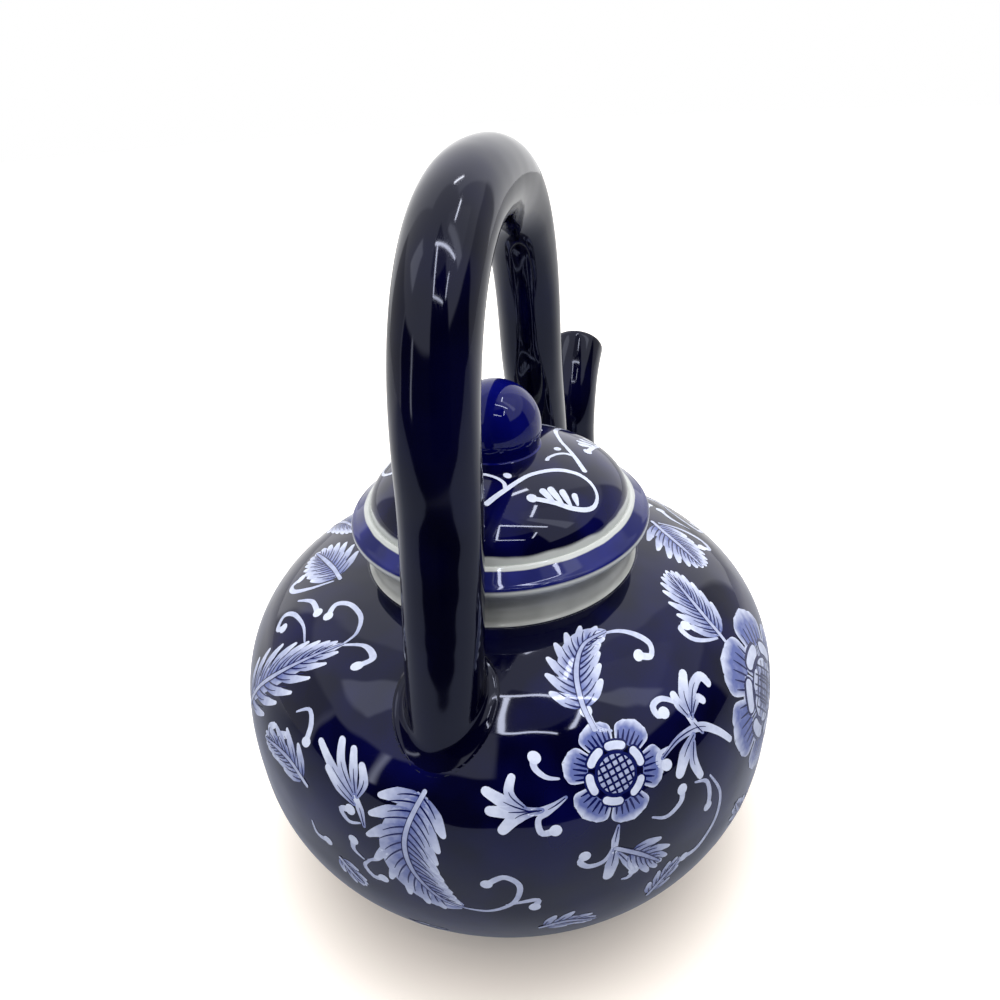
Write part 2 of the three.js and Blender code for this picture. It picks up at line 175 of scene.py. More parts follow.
def newGeometryTree(name, sockets):
    tree = bpy.data.node_groups.new(name, "GeometryNodeTree")
    tree.interface.new_socket("Geometry", in_out="INPUT", socket_type="NodeSocketGeometry")
    for label, kind in sockets:
        tree.interface.new_socket(label, in_out="INPUT", socket_type=kind)
    tree.interface.new_socket("Geometry", in_out="OUTPUT", socket_type="NodeSocketGeometry")
    return tree


# A curve in the plane of the handle, or a wall outline, as an object that nodes can sample.
def pathObject(name, flatPoints, start=0.0):
    curve = bpy.data.curves.new(name, "CURVE")
    curve.dimensions = "3D"
    spline = curve.splines.new("POLY")
    spline.points.add(len(flatPoints) - 1)
    for point, (x, z) in zip(spline.points, flatPoints):
        point.co = (start + x * mm, 0, z * mm, 1)
    return newObject(name, curve)


print("frame loaded, turning axis at x =", round(axisX / mm, 2), "mm")


# Camera, at the height and distance of someone who looks down over the handle

camera = {
    "focal": 751.4,          # in pixels of a 1000 pixel wide picture
    "distance": 222.6,       # mm from the point it looks at
    "elevation": 35.15,
    "heading": 15.38,        # turned from the handle's plane
    "roll": -3.37,
    "lookHeight": 100.15,    # mm above the table on the pot's axis
    "middle": (503.8, 576.0),  # the lens axis in the picture
}


def placeCamera():
    tilt, turn = math.radians(camera["elevation"]), math.radians(camera["heading"])
    back = Vector((-math.cos(tilt) * math.cos(turn), -math.cos(tilt) * math.sin(turn), math.sin(tilt)))
    place = Vector((axisX, 0, camera["lookHeight"] * mm)) + back * camera["distance"] * mm
    right = (-back).cross(Vector((0, 0, 1))).normalized()
    up = right.cross(-back)
    roll = math.radians(camera["roll"])
    rightRolled = math.cos(roll) * right + math.sin(roll) * up
    upRolled = -math.sin(roll) * right + math.cos(roll) * up
    data = bpy.data.cameras.new("camera")
    data.sensor_width = 36
    data.lens = 36 * camera["focal"] / 1000
    data.shift_x = (500 - camera["middle"][0]) / 1000
    data.shift_y = (camera["middle"][1] - 500) / 1000
    data.clip_start = 0.01
    made = newObject("camera", data)
    axes = Matrix((rightRolled, upRolled, back)).transposed()
    made.matrix_world = Matrix.Translation(place) @ axes.to_4x4()
    scene.camera = made
    return Vector((back.x, back.y, 0)).normalized()


towardsViewer = placeCamera()
print("camera placed")


# Table, surroundings and lamps. The pot stands in a small white tent that is open towards
# the viewer, so its glaze mirrors grey walls with sharp edges, a black opening and the thin
# bright strips along the tent's ceiling.

studio = {
    "tableShown": "#f4e9de",      # warm white in the picture
    "tableMirroredShade": "#a9adba",   # as the glaze mirrors it: painted shade of the camera, in front of the pot
    "tableMirroredLight": "#f2f2f2",     # and painted full light behind the pot
    "behindFrom": 0.02, "behindTo": 0.30,   # m from the axis away from the viewer, over which the painted shade turns to painted light
    "tableRadius": 3.0,       # m
    "tableEdge": 0.42,        # m from the axis towards the viewer, where the table ends
    "glowNear": 0.1, "glowFar": 1.0,    # lifts the table to white in the picture only, but less near the pot
    "glowFrom": 0.062, "glowTo": 0.135, # m from the axis; the weaker glow within paints shade round the base over its real shadow
    "walls": 0.85,            # level of the walls, 1 for lit white
    # Azimuth from the viewer, half width, height above the horizon, half height in
    # degrees, then the level.
    "panels": [
        (180, 94, 2, 26, 0.48),    # side and far walls low down
        (180, 48, 22, 44, 1.25),   # lit backdrop behind the spout
        (5, 88, 3, 24, 0.02),      # dark room round the viewer
        (12, 34, 79, 18, 0.30),    # ceiling within the strips
        (17, 25, 25, 36, 0.0),     # opening of the tent
        (-87, 12, 51, 11, 2.0),    # lit patch of the left wall
        (92, 20, 62, 18, 1.0),     # lit right wall
        (74, 6, 58, 17, 2.2),      # its bright edge
        (-54, 1.6, 14, 13, 3.5),   # slit at the side of the opening
    ],
    "softness": 1.2,          # degrees of blur at an edge
    # Strips on the ceiling, from and to in mm from the axis.
    "stripHeight": 450.0, "stripWidth": 10.0, "stripLevel": 17.0,
    "strips": [
        ((-88, 6), (-70, -215)), ((-92, -18), (-250, -44)), ((-250, -44), (-245, -193)),
        ((-215, -224), (-131, -193)), ((83, -4), (133, -45)), ((-9, -102), (63, -91)),
    ],
    # A wide soft lamp that the glaze doesn't mirror, in W and m.
    "fill": 6.0, "fillPlace": (-0.25, -0.1, 1.0), "fillAim": (0.0, 0.0, 0.08), "fillSize": 1.0,
}


def newMaterial(name):
    made = bpy.data.materials.new(name)
    made.use_nodes = True
    made.node_tree.nodes.clear()
    return made, made.node_tree


def makeTable():
    material, tree = newMaterial("matt white table")
    place = addNode(tree, "ShaderNodeTexCoord")["Object"]
    centred = addNode(tree, "ShaderNodeVectorMath", {
        0: place, 1: (axisX, 0, 0)}, operation="SUBTRACT")[0]
    ahead = addNode(tree, "ShaderNodeVectorMath", {
        0: centred, 1: -towardsViewer}, operation="DOT_PRODUCT")["Value"]
    # The glaze mirrors the table with painted shade of the camera in front and painted light behind the
    # pot.
    behind = addNode(tree, "ShaderNodeMapRange", {
        "Value": ahead, "From Min": studio["behindFrom"], "From Max": studio["behindTo"]})[0]
    mirrored = addNode(tree, "ShaderNodeMix", {
        0: behind, 6: colour(studio["tableMirroredShade"]), 7: colour(studio["tableMirroredLight"])},
        data_type="RGBA")[2]
    seen = addNode(tree, "ShaderNodeLightPath")["Is Camera Ray"]
    paint = addNode(tree, "ShaderNodeMix", {
        0: seen, 6: mirrored, 7: colour(studio["tableShown"])}, data_type="RGBA")[2]
    diffuse = addNode(tree, "ShaderNodeBsdfDiffuse", {"Color": paint})
    # The glow that whitens the table for the camera is weaker near the pot, which paints darker shade round
    # its base.
    reach = addNode(tree, "ShaderNodeVectorMath", {0: centred}, operation="LENGTH")["Value"]
    level = addNode(tree, "ShaderNodeMapRange", {
        "Value": reach, "From Min": studio["glowFrom"], "From Max": studio["glowTo"],
        "To Min": studio["glowNear"], "To Max": studio["glowFar"]},
        interpolation_type="SMOOTHSTEP")[0]
    shown = addNode(tree, "ShaderNodeMath", {0: seen, 1: level}, operation="MULTIPLY")[0]
    glow = addNode(tree, "ShaderNodeEmission", {"Color": (1, 1, 1, 1), "Strength": shown})
    both = addNode(tree, "ShaderNodeAddShader", {0: diffuse[0], 1: glow[0]})
    addNode(tree, "ShaderNodeOutputMaterial", {"Surface": both[0]})
    sides, ring = 96, []
    for k in range(sides):
        turn = 2 * math.pi * k / sides
        point = Vector((math.cos(turn), math.sin(turn), 0)) * studio["tableRadius"]
        beyond = max(0.0, point.dot(towardsViewer) - studio["tableEdge"])
        ring.append(tuple(point - towardsViewer * beyond + Vector((axisX, 0, 0))))
    meshObject("table", ring, [list(range(sides))], [material], smooth=False)


def makeWorld():
    world = bpy.data.worlds.new("white tent")
    scene.world = world
    world.use_nodes = True
    tree = world.node_tree
    tree.nodes.clear()
    direction = addNode(tree, "ShaderNodeTexCoord")["Generated"]
    sideways = Vector((-towardsViewer.y, towardsViewer.x, 0))
    ahead = addNode(tree, "ShaderNodeVectorMath", {
        0: direction, 1: towardsViewer}, operation="DOT_PRODUCT")["Value"]
    across = addNode(tree, "ShaderNodeVectorMath", {
        0: direction, 1: sideways}, operation="DOT_PRODUCT")["Value"]
    upwards = addNode(tree, "ShaderNodeSeparateXYZ", {0: direction})["Z"]
    turn = addNode(tree, "ShaderNodeMath", {0: across, 1: ahead}, operation="ARCTAN2")[0]
    azimuth = addNode(tree, "ShaderNodeMath", {0: turn}, operation="DEGREES")[0]
    rise = addNode(tree, "ShaderNodeMath", {0: upwards}, operation="ARCSINE")[0]
    height = addNode(tree, "ShaderNodeMath", {0: rise}, operation="DEGREES")[0]
    soft = studio["softness"]

    # 1 within so many degrees of a middle, both ways round.
    def within(value, middle, half):
        off = addNode(tree, "ShaderNodeMath", {0: value, 1: middle}, operation="SUBTRACT")[0]
        wrapped = addNode(tree, "ShaderNodeMath", {0: off, 1: -180.0, 2: 180.0}, operation="WRAP")[0]
        away = addNode(tree, "ShaderNodeMath", {0: wrapped}, operation="ABSOLUTE")[0]
        return addNode(tree, "ShaderNodeMapRange", {
            "Value": away, "From Min": half - soft, "From Max": half + soft,
            "To Min": 1.0, "To Max": 0.0})[0]

    level = studio["walls"]
    for middle, half, raised, halfHeight, strength in studio["panels"]:
        mask = addNode(tree, "ShaderNodeMath", {
            0: within(azimuth, middle, half), 1: within(height, raised, halfHeight)},
            operation="MULTIPLY")[0]
        level = addNode(tree, "ShaderNodeMix", {0: mask, 2: level, 3: strength}, data_type="FLOAT")[0]
    light = addNode(tree, "ShaderNodeBackground", {"Color": (1, 1, 1, 1), "Strength": level})
    shown = addNode(tree, "ShaderNodeBackground", {"Color": (1, 1, 1, 1), "Strength": 1.0})
    seen = addNode(tree, "ShaderNodeLightPath")["Is Camera Ray"]
    both = addNode(tree, "ShaderNodeMixShader", {0: seen, 1: light[0], 2: shown[0]})
    addNode(tree, "ShaderNodeOutputWorld", {"Surface": both[0]})


def addLamp(name, place, aim, size, power, along=None):
    data = bpy.data.lights.new(name, "AREA")
    data.shape = "RECTANGLE"
    data.size, data.size_y = size
    data.energy = power
    made = newObject(name, data)
    back = (Vector(place) - Vector(aim)).normalized()
    first = Vector(along or (1, 0, 0))
    first = (first - back * first.dot(back)).normalized()
    axes = Matrix((first, back.cross(first), back)).transposed()
    made.matrix_world = Matrix.Translation(Vector(place)) @ axes.to_4x4()
    made.visible_camera = False
    return made


def makeLamps():
    height, width = studio["stripHeight"] * mm, studio["stripWidth"] * mm
    for i, (start, end) in enumerate(studio["strips"]):
        a = Vector((axisX + start[0] * mm, start[1] * mm, height))
        b = Vector((axisX + end[0] * mm, end[1] * mm, height))
        length = (b - a).length
        power = studio["stripLevel"] * math.pi * length * width
        middle = (a + b) / 2
        below = middle - Vector((0, 0, 1))
        addLamp("strip lamp " + str(i + 1), middle, below, (length, width), power, b - a)
    axis, size = Vector((axisX, 0, 0)), studio["fillSize"]
    place, aim = axis + Vector(studio["fillPlace"]), axis + Vector(studio["fillAim"])
    fill = addLamp("fill lamp", place, aim, (size, size), studio["fill"])
    fill.visible_glossy = False


makeTable()
makeWorld()
makeLamps()
print("table, surroundings and lamps placed")


# Glazes

skinTint = "#e1e7ff"  # the clear glaze mirrors a little bluer than white


# Cobalt under a clear glaze on porcelain: near black where little light gets in, a rich
# blue where the colour lies thin, and a mirror-smooth skin. IOR 1.5, roughness 0.04 to 0.08.
def cobaltGlaze(name, deep, rich, roughness=0.04):
    material, tree = newMaterial(name)
    place = addNode(tree, "ShaderNodeTexCoord")["Object"]
    # The colour pools in patches of about 20 mm.
    pools = addNode(tree, "ShaderNodeTexNoise", {
        "Vector": place, "Scale": 50.0, "Detail": 2.0, "Roughness": 0.5})
    spread = addNode(tree, "ShaderNodeMapRange", {
        "Value": pools[0], "From Min": 0.42, "From Max": 0.72})
    tone = addNode(tree, "ShaderNodeMix", {
        0: spread[0], 6: colour(deep), 7: colour(rich)}, data_type="RGBA")
    # The glaze skin is a little wavy, about 15 mm from crest to crest.
    waves = addNode(tree, "ShaderNodeTexNoise", {"Vector": place, "Scale": 65.0, "Detail": 1.0})
    skin = addNode(tree, "ShaderNodeBump", {"Height": waves[0], "Strength": 0.17, "Distance": 0.002})
    surface = addNode(tree, "ShaderNodeBsdfPrincipled", {
        "Base Color": tone[2], "Roughness": roughness, "IOR": 1.5,
        "Specular Tint": colour(skinTint), "Normal": skin[0]})
    addNode(tree, "ShaderNodeOutputMaterial", {"Surface": surface[0]})
    return material


# Clear-glazed white porcelain: a cool greyish white with faint clouds. IOR 1.5, roughness 0.08.
def whiteGlaze(name, base, clouded):
    material, tree = newMaterial(name)
    place = addNode(tree, "ShaderNodeTexCoord")["Object"]
    clouds = addNode(tree, "ShaderNodeTexNoise", {"Vector": place, "Scale": 110.0, "Detail": 2.0})
    tone = addNode(tree, "ShaderNodeMix", {
        0: clouds[0], 6: colour(base), 7: colour(clouded)}, data_type="RGBA")
    surface = addNode(tree, "ShaderNodeBsdfPrincipled", {
        "Base Color": tone[2], "Roughness": 0.08, "IOR": 1.5})
    addNode(tree, "ShaderNodeOutputMaterial", {"Surface": surface[0]})
    return material


# Biscuit, bare fired porcelain on the foot's edge: dry, warm and matt. IOR 1.5, roughness 0.8.
def biscuit(name, dark, light):
    material, tree = newMaterial(name)
    place = addNode(tree, "ShaderNodeTexCoord")["Object"]
    grain = addNode(tree, "ShaderNodeTexNoise", {
        "Vector": place, "Scale": 1400.0, "Detail": 2.0})  # 0.7 mm grit
    tone = addNode(tree, "ShaderNodeMix", {
        0: grain[0], 6: colour(dark), 7: colour(light)}, data_type="RGBA")
    rough = addNode(tree, "ShaderNodeBump", {"Height": grain[0], "Strength": 0.4, "Distance": 0.0002})
    surface = addNode(tree, "ShaderNodeBsdfPrincipled", {
        "Base Color": tone[2], "Roughness": 0.8, "IOR": 1.5, "Normal": rough[0]})
    addNode(tree, "ShaderNodeOutputMaterial", {"Surface": surface[0]})
    return material


# Underglaze print: porcelain white at the tips of petals and leaves, washed to lilac blue
# within. It lies under the same smooth glaze. IOR 1.5, roughness 0.04.
def printGlaze(name, white, wash):
    material, tree = newMaterial(name)
    tint = addNode(tree, "ShaderNodeAttribute", attribute_name="tint")["Fac"]
    place = addNode(tree, "ShaderNodeTexCoord")["Object"]
    # The wash is uneven in spots of about 2 mm.
    spots = addNode(tree, "ShaderNodeTexNoise", {"Vector": place, "Scale": 480.0, "Detail": 2.0})[0]
    uneven = addNode(tree, "ShaderNodeMapRange", {
        "Value": spots, "From Min": 0.3, "From Max": 0.7, "To Min": -0.12, "To Max": 0.12})[0]
    shade = addNode(tree, "ShaderNodeMath", {0: tint, 1: uneven}, operation="ADD", use_clamp=True)[0]
    tone = addNode(tree, "ShaderNodeMix", {0: shade, 6: colour(white), 7: colour(wash)}, data_type="RGBA")
    surface = addNode(tree, "ShaderNodeBsdfPrincipled", {
        "Base Color": tone[2], "Roughness": 0.04, "IOR": 1.5,
        "Specular Tint": colour(skinTint)})
    addNode(tree, "ShaderNodeOutputMaterial", {"Surface": surface[0]})
    return material


groundGlaze = cobaltGlaze("cobalt ground glaze", "#03031e", "#050640", 0.05)
tubeGlaze = cobaltGlaze("cobalt tube glaze", "#020215", "#040428", 0.08)
knobGlaze = cobaltGlaze("cobalt knob glaze", "#05085c", "#0a0f78")
insideGlaze = whiteGlaze("clear white glaze", "#aeb1ae", "#dfe0dd")
footBiscuit = biscuit("bare biscuit", "#cdbfa9", "#e2d8c8")
paleGlaze = printGlaze("pale printed glaze", "#dfe6fb", "#6672ae")
inkGlaze = printGlaze("dark printed glaze", "#141a56", "#0c1044")
print("glazes mixed")


# Body

body = {
    "radius": 79.8, "footHeight": 10.2,
    "shoulderRise": 55.2, "shoulderWidthPower": 3.1, "shoulderRisePower": 2.88,
    "baseDrop": 56.8, "basePower": 2.16,
    "wall": 4.0, "floor": 6.0, "mouth": 32.0,
    "foot": 46.0, "footWall": 8.0, "footEdge": 5.0, "footRound": 1.0, "footSink": 0.05,
    "hole": 1.9, "holeRing": 7.0, "holeCount": 6, "drill": 24.0,
    "coveReach": 3.0, "coveRise": 0.6,  # the inside runs out into the floor
    "meshStep": 1.1, "sharpFrom": 50,
}


# A quarter of the outline is a rounded corner: cosine and sine raised to 2 / power.
def powerOf(value, power):
    return max(value, 0.0) ** (2 / power)


def angleAt(radius, power):
    return math.acos(min(1.0, (radius / body["radius"]) ** (power / 2)))


def baseDropAt(angle):
    return body["baseDrop"] * powerOf(math.sin(angle), body["basePower"])


bellyHeight = body["footHeight"] + baseDropAt(angleAt(body["foot"], body["basePower"]))


def shoulderPoint(angle):
    return (body["radius"] * powerOf(math.cos(angle), body["shoulderWidthPower"]),
            bellyHeight + body["shoulderRise"] * powerOf(math.sin(angle), body["shoulderRisePower"]))


def basePoint(angle):
    radius = body["radius"] * powerOf(math.cos(angle), body["basePower"])
    return (radius, bellyHeight - baseDropAt(angle))


def shoulderHeight(radius):
    return shoulderPoint(angleAt(radius, body["shoulderWidthPower"]))[1]


def bodyOutline(lowRadius, highRadius, step):
    low = angleAt(lowRadius, body["basePower"])
    high = angleAt(highRadius, body["shoulderWidthPower"])
    fine = [basePoint(low * (1 - i / 600)) for i in range(600)]
    fine += [shoulderPoint(high * i / 600) for i in range(601)]
    return evenly(fine, step)


def offsetOutline(outline, distance):
    made = []
    for i, (radius, height) in enumerate(outline):
        before, after = outline[max(i - 1, 0)], outline[min(i + 1, len(outline) - 1)]
        run = (after[0] - before[0], after[1] - before[1])
        length = math.hypot(*run)
        made.append((radius + distance * run[1] / length, height - distance * run[0] / length))
    return made


# Pierces the wall behind the spout with one hole and a ring of holes round it.
def pierceTree():
    tree = newGeometryTree("pierce wall", [
        ("Hole", "NodeSocketFloat"), ("Ring", "NodeSocketFloat"), ("Count", "NodeSocketInt"),
        ("Drill", "NodeSocketFloat"), ("Place", "NodeSocketVector"), ("Material", "NodeSocketMaterial")])
    given = addNode(tree, "NodeGroupInput")
    ring = addNode(tree, "GeometryNodeMeshCircle", {
        "Vertices": given["Count"], "Radius": given["Ring"]})[0]
    single = addNode(tree, "GeometryNodeMeshLine", {"Count": 1})[0]
    places = addNode(tree, "GeometryNodeJoinGeometry", {0: [ring, single]})
    drill = addNode(tree, "GeometryNodeMeshCylinder", {
        "Vertices": 24, "Radius": given["Hole"], "Depth": given["Drill"]})["Mesh"]
    lined = addNode(tree, "GeometryNodeSetMaterial", {
        "Geometry": drill, "Material": given["Material"]})[0]
    drills = addNode(tree, "GeometryNodeInstanceOnPoints", {"Points": places[0], "Instance": lined})[0]
    real = addNode(tree, "GeometryNodeRealizeInstances", {0: drills})[0]
    aimed = addNode(tree, "GeometryNodeTransform", {
        "Geometry": real, "Translation": given["Place"], "Rotation": (0, math.pi / 2, 0)})[0]
    pierced = addNode(tree, "GeometryNodeMeshBoolean", {
        "Mesh 1": given["Geometry"], "Mesh 2": aimed},
        operation="DIFFERENCE", solver="EXACT")["Mesh"]
    addNode(tree, "NodeGroupOutput", {0: pierced})
    return tree


def makeBody():
    outside = bodyOutline(body["foot"], body["mouth"], body["meshStep"])
    floor = footTop + body["floor"]
    inset = offsetOutline(outside, -body["wall"])
    inside = [p for p in inset if p[0] > body["mouth"] and p[1] > floor][::-1][::2]
    bottom = [(0.0, footTop), (body["foot"] - body["footWall"], footTop)]
    sill = [(body["mouth"], inside[0][1])]
    reach, start = body["coveReach"], inside[-1][0]
    basin = [(start - reach, floor + body["coveRise"]), (start - 2 * reach, floor), (0.0, floor)]
    outline = bottom + outside + sill + inside + basin
    outsideEnd = len(bottom) + len(outside) - 1
    made = turnedPiece("bodyShell", outline, [groundGlaze, insideGlaze],
                       zones=lambda i: 0 if 1 <= i < outsideEnd else 1)
    addModifier(made, pierceTree(), {
        "Hole": body["hole"] * mm, "Ring": body["holeRing"] * mm, "Count": body["holeCount"],
        "Drill": body["drill"] * mm, "Material": insideGlaze,
        "Place": (axisX + spoutRoot[0] * mm, 0, spoutRoot[1] * mm)})
    bakeModifiers(made)
    made.data.set_sharp_from_angle(angle=math.radians(body["sharpFrom"]))
    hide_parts("body_bowl", "body_shoulder")
    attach(made, "pot")


footTop = body["footHeight"]
spoutRoot = basePoint(math.radians(2))  # where the middle of the spout meets the body
makeBody()
print("body turned and pierced")


def makeFoot():
    outer, wall = body["foot"], body["footWall"]
    middleRadius = outer - wall / 2
    edgeRound = body["footRound"]
    low = middleRadius + body["footEdge"] / 2 - edgeRound
    high = middleRadius - body["footEdge"] / 2 + edgeRound
    top = footTop + body["footSink"]
    outline = roundOff(low, edgeRound, edgeRound, -90, -20) + [(outer, top), (outer - wall, top)]
    outline += roundOff(high, edgeRound, edgeRound, 200, 270)
    # Stretch 6 is the outer side, 7 and 8 are the top and the inner side, and the rest is the edge.
    made = turnedPiece("footRing", outline, [groundGlaze, footBiscuit, insideGlaze], closed=True,
                       zones=lambda i: 0 if i == 6 else 2 if i in (7, 8) else 1)
    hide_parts("foot_ring")
    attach(made, "pot")


makeFoot()
print("foot turned")


# Neck collar

collar = {
    "radius": 36.8, "inner": 33.4, "rise": 8.0, "waist": 0.7, "fillet": 1.6,
    "sink": 0.6, "toe": 0.3, "toeSink": 0.4,  # what lies under the body's skin
}
collarTop = bellyHeight + body["shoulderRise"] + collar["rise"]


def makeCollar():
    outer, inner = collar["radius"], collar["inner"]
    rim = (outer - inner) / 2
    foot = outer + collar["fillet"]
    start = shoulderHeight(foot)
    wall = []
    low, high = shoulderHeight(outer) + collar["fillet"], collarTop - rim
    for i in range(13):
        share = i / 12
        wall.append((outer - collar["waist"] * math.sin(math.pi * share), mix(low, high, share)))
    outline = [(inner, shoulderHeight(inner) - collar["sink"]),
               (foot + collar["toe"], start - collar["toeSink"])]
    outline += [(foot - collar["fillet"] * math.sin(a), start + collar["fillet"] * (1 - math.cos(a)))
                for a in [math.pi / 2 * i / 6 for i in range(6)]]
    outline += wall[:-1] + roundOff(outer - rim, high, rim, 0, 180, 10)
    made = turnedPiece("neckCollar", outline, [insideGlaze], closed=True)
    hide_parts("neck_collar")
    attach(made, "pot")


makeCollar()
print("collar turned")


# Lid

lid = {
    "radius": 41.0, "edge": 3.6, "seatGap": 0.3,
    "borderWidth": 5.1, "borderRise": 2.4,
    "beadHeight": 0.4, "beadWidth": 1.4,
    "domeRise": 16.6, "domeWidthPower": 1.5, "domeRisePower": 2.1, "wall": 3.6,
    "skirtClearance": 0.8, "skirtWall": 3.0, "skirtDepth": 7.0,
    "skirtRound": 1.0, "skirtSink": 0.1,
    "knobRadius": 12.1, "knobSeat": 11.0, "knobSink": 0.6, "knobToe": 0.9,
    # Glaze gathers in a small fillet where the knob meets the dome: out from the seat and up
    # from the dome, with the ball's own round starting so many degrees further up.
    "knobFillet": ((1.0, 0.02), (0.55, 0.2)), "knobBare": 9,
    "ringWidth": 2.1, "rimWhite": 2.4,   # the white ring, and the bare white of the edge
    "brushWander": 0.6, "meshStep": 0.8, "sharpFrom": 60,
    "domeBlues": ("#030324", "#07084a"), "borderBlues": ("#151a5c", "#1e2376"), "ringWhite": "#cfd2cf",
}
lidUnder = collarTop + lid["seatGap"]
beadRadius = lid["radius"] - lid["borderWidth"]
beadTop = lidUnder + lid["edge"] + lid["borderRise"]
domeRadius = beadRadius - lid["beadWidth"] / 2
domeTop = beadTop + lid["domeRise"]
skirtRadius = collar["inner"] - lid["skirtClearance"]


def domePoint(radius, rise, height, angle):
    return (radius * powerOf(math.cos(angle), lid["domeWidthPower"]),
            height + rise * powerOf(math.sin(angle), lid["domeRisePower"]))


def domeHeight(radius):
    angle = math.acos(min(1.0, (radius / domeRadius) ** (lid["domeWidthPower"] / 2)))
    return domePoint(domeRadius, lid["domeRise"], beadTop, angle)[1]


def domeOutline(step):
    fine = [domePoint(domeRadius, lid["domeRise"], beadTop, math.pi / 2 * i / 900) for i in range(900)]
    return evenly([p for p in fine if p[0] > lid["knobSeat"] - 2], step)


# The lid's glaze: cobalt dome and border, a white ring between them and a white rim.
def lidGlaze():
    material, tree = newMaterial("banded lid glaze")
    place = addNode(tree, "ShaderNodeTexCoord")["Object"]
    centred = addNode(tree, "ShaderNodeVectorMath", {
        0: place, 1: (axisX, 0, 0)}, operation="SUBTRACT")[0]
    flat = addNode(tree, "ShaderNodeVectorMath", {0: centred, 1: (1, 1, 0)}, operation="MULTIPLY")[0]
    reach = addNode(tree, "ShaderNodeVectorMath", {0: flat}, operation="LENGTH")["Value"]
    height = addNode(tree, "ShaderNodeSeparateXYZ", {0: place})["Z"]
    # A brush held on the turning lid wanders a little.
    wander = addNode(tree, "ShaderNodeTexNoise", {"Vector": place, "Scale": 90.0, "Detail": 1.0})[0]
    wavy = addNode(tree, "ShaderNodeMath", {
        0: wander, 1: lid["brushWander"] * mm, 2: reach}, operation="MULTIPLY_ADD")[0]

    def step(value, edge, width=0.15):
        return addNode(tree, "ShaderNodeMapRange", {
            "Value": value, "From Min": (edge - width) * mm, "From Max": (edge + width) * mm},
            interpolation_type="SMOOTHSTEP")[0]

    ringMiddle = beadRadius + lid["brushWander"] / 2  # the wander adds as much on average
    ringIn = step(wavy, ringMiddle - lid["ringWidth"] / 2)
    ringOut = step(wavy, ringMiddle + lid["ringWidth"] / 2)
    above = step(height, lidUnder + lid["rimWhite"], 0.3)
    border = addNode(tree, "ShaderNodeMath", {0: ringOut, 1: above}, operation="MULTIPLY")[0]
    pools = addNode(tree, "ShaderNodeTexNoise", {"Vector": place, "Scale": 70.0, "Detail": 2.0})[0]
    spread = addNode(tree, "ShaderNodeMapRange", {
        "Value": pools, "From Min": 0.42, "From Max": 0.68})[0]
    domeBlue = addNode(tree, "ShaderNodeMix", {
        0: spread, 6: colour(lid["domeBlues"][0]), 7: colour(lid["domeBlues"][1])}, data_type="RGBA")[2]
    bandBlue = addNode(tree, "ShaderNodeMix", {
        0: spread, 6: colour(lid["borderBlues"][0]), 7: colour(lid["borderBlues"][1])}, data_type="RGBA")[2]
    first = addNode(tree, "ShaderNodeMix", {
        0: ringIn, 6: domeBlue, 7: colour(lid["ringWhite"])}, data_type="RGBA")[2]
    second = addNode(tree, "ShaderNodeMix", {0: border, 6: first, 7: bandBlue}, data_type="RGBA")[2]
    surface = addNode(tree, "ShaderNodeBsdfPrincipled", {
        "Base Color": second, "Roughness": 0.04, "IOR": 1.5, "Specular Tint": colour(skinTint)})
    addNode(tree, "ShaderNodeOutputMaterial", {"Surface": surface[0]})
    return material


def makeLid():
    edge = lid["edge"] / 2
    bead = []
    for share in [i / 8 for i in range(9)]:
        rise = lid["beadHeight"] * math.sin(math.pi * share)
        bead.append((beadRadius + lid["beadWidth"] * (0.5 - share), beadTop + rise))
    dome = domeOutline(lid["meshStep"])[1:]
    borderStart = roundOff(lid["radius"] - edge, lidUnder + edge, edge, -90, 70, 12)
    border = [tuple(mix(a, b, i / 6) for a, b in zip(borderStart[-1], bead[0])) for i in range(1, 6)]
    innerRadius = skirtRadius - lid["skirtWall"]
    innerRise = domeTop - lid["wall"] - lidUnder
    steps = 24
    inside = [domePoint(innerRadius, innerRise, lidUnder, math.pi / 2 * (1 - i / steps))
              for i in range(steps + 1)]
    inside[0] = (0.0, lidUnder + innerRise)
    outline = inside + borderStart + border + bead + dome + [(0.0, dome[-1][1])]
    cover = turnedPiece("lidCover", outline, [lidGlaze(), insideGlaze],
                        zones=lambda i: 1 if i < steps else 0)
    cover.data.set_sharp_from_angle(angle=math.radians(lid["sharpFrom"]))
    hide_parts("lid_cover")
    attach(cover, "lid")

    edge = lid["skirtRound"]
    low, high = lidUnder - lid["skirtDepth"] + edge, lidUnder + lid["skirtSink"]
    outline = roundOff(skirtRadius - edge, low, edge, -90, 0) + [(skirtRadius, high), (innerRadius, high)]
    outline += roundOff(innerRadius + edge, low, edge, 180, 270)
    skirt = turnedPiece("lidSkirt", outline, [insideGlaze], closed=True)
    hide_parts("lid_skirt")
    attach(skirt, "lid")

    radius, seat = lid["knobRadius"], lid["knobSeat"]
    seatHeight = domeHeight(seat)
    centre = seatHeight + math.sqrt(radius ** 2 - seat ** 2)
    start = -math.degrees(math.acos(seat / radius))
    ball = roundOff(0, centre, radius, start + lid["knobBare"], 90, 48)
    ball[-1] = (0.0, centre + radius)
    low = seatHeight - lid["knobSink"]
    base = [(0.0, low), (seat + lid["knobToe"], low)]
    fillet = [(seat + out, domeHeight(seat + out) + rise) for out, rise in lid["knobFillet"]]
    knob = turnedPiece("lidKnob", base + fillet + ball, [knobGlaze])
    knob.data.set_sharp_from_angle(angle=math.radians(lid["sharpFrom"]))
    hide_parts("lid_knob")
    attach(knob, "lid")


makeLid()
print("lid turned")


# Handle and spout: straight round rods that Geometry Nodes bend along a path. Each side of
# a root runs straight on to the body and turns out into its wall in its own round.

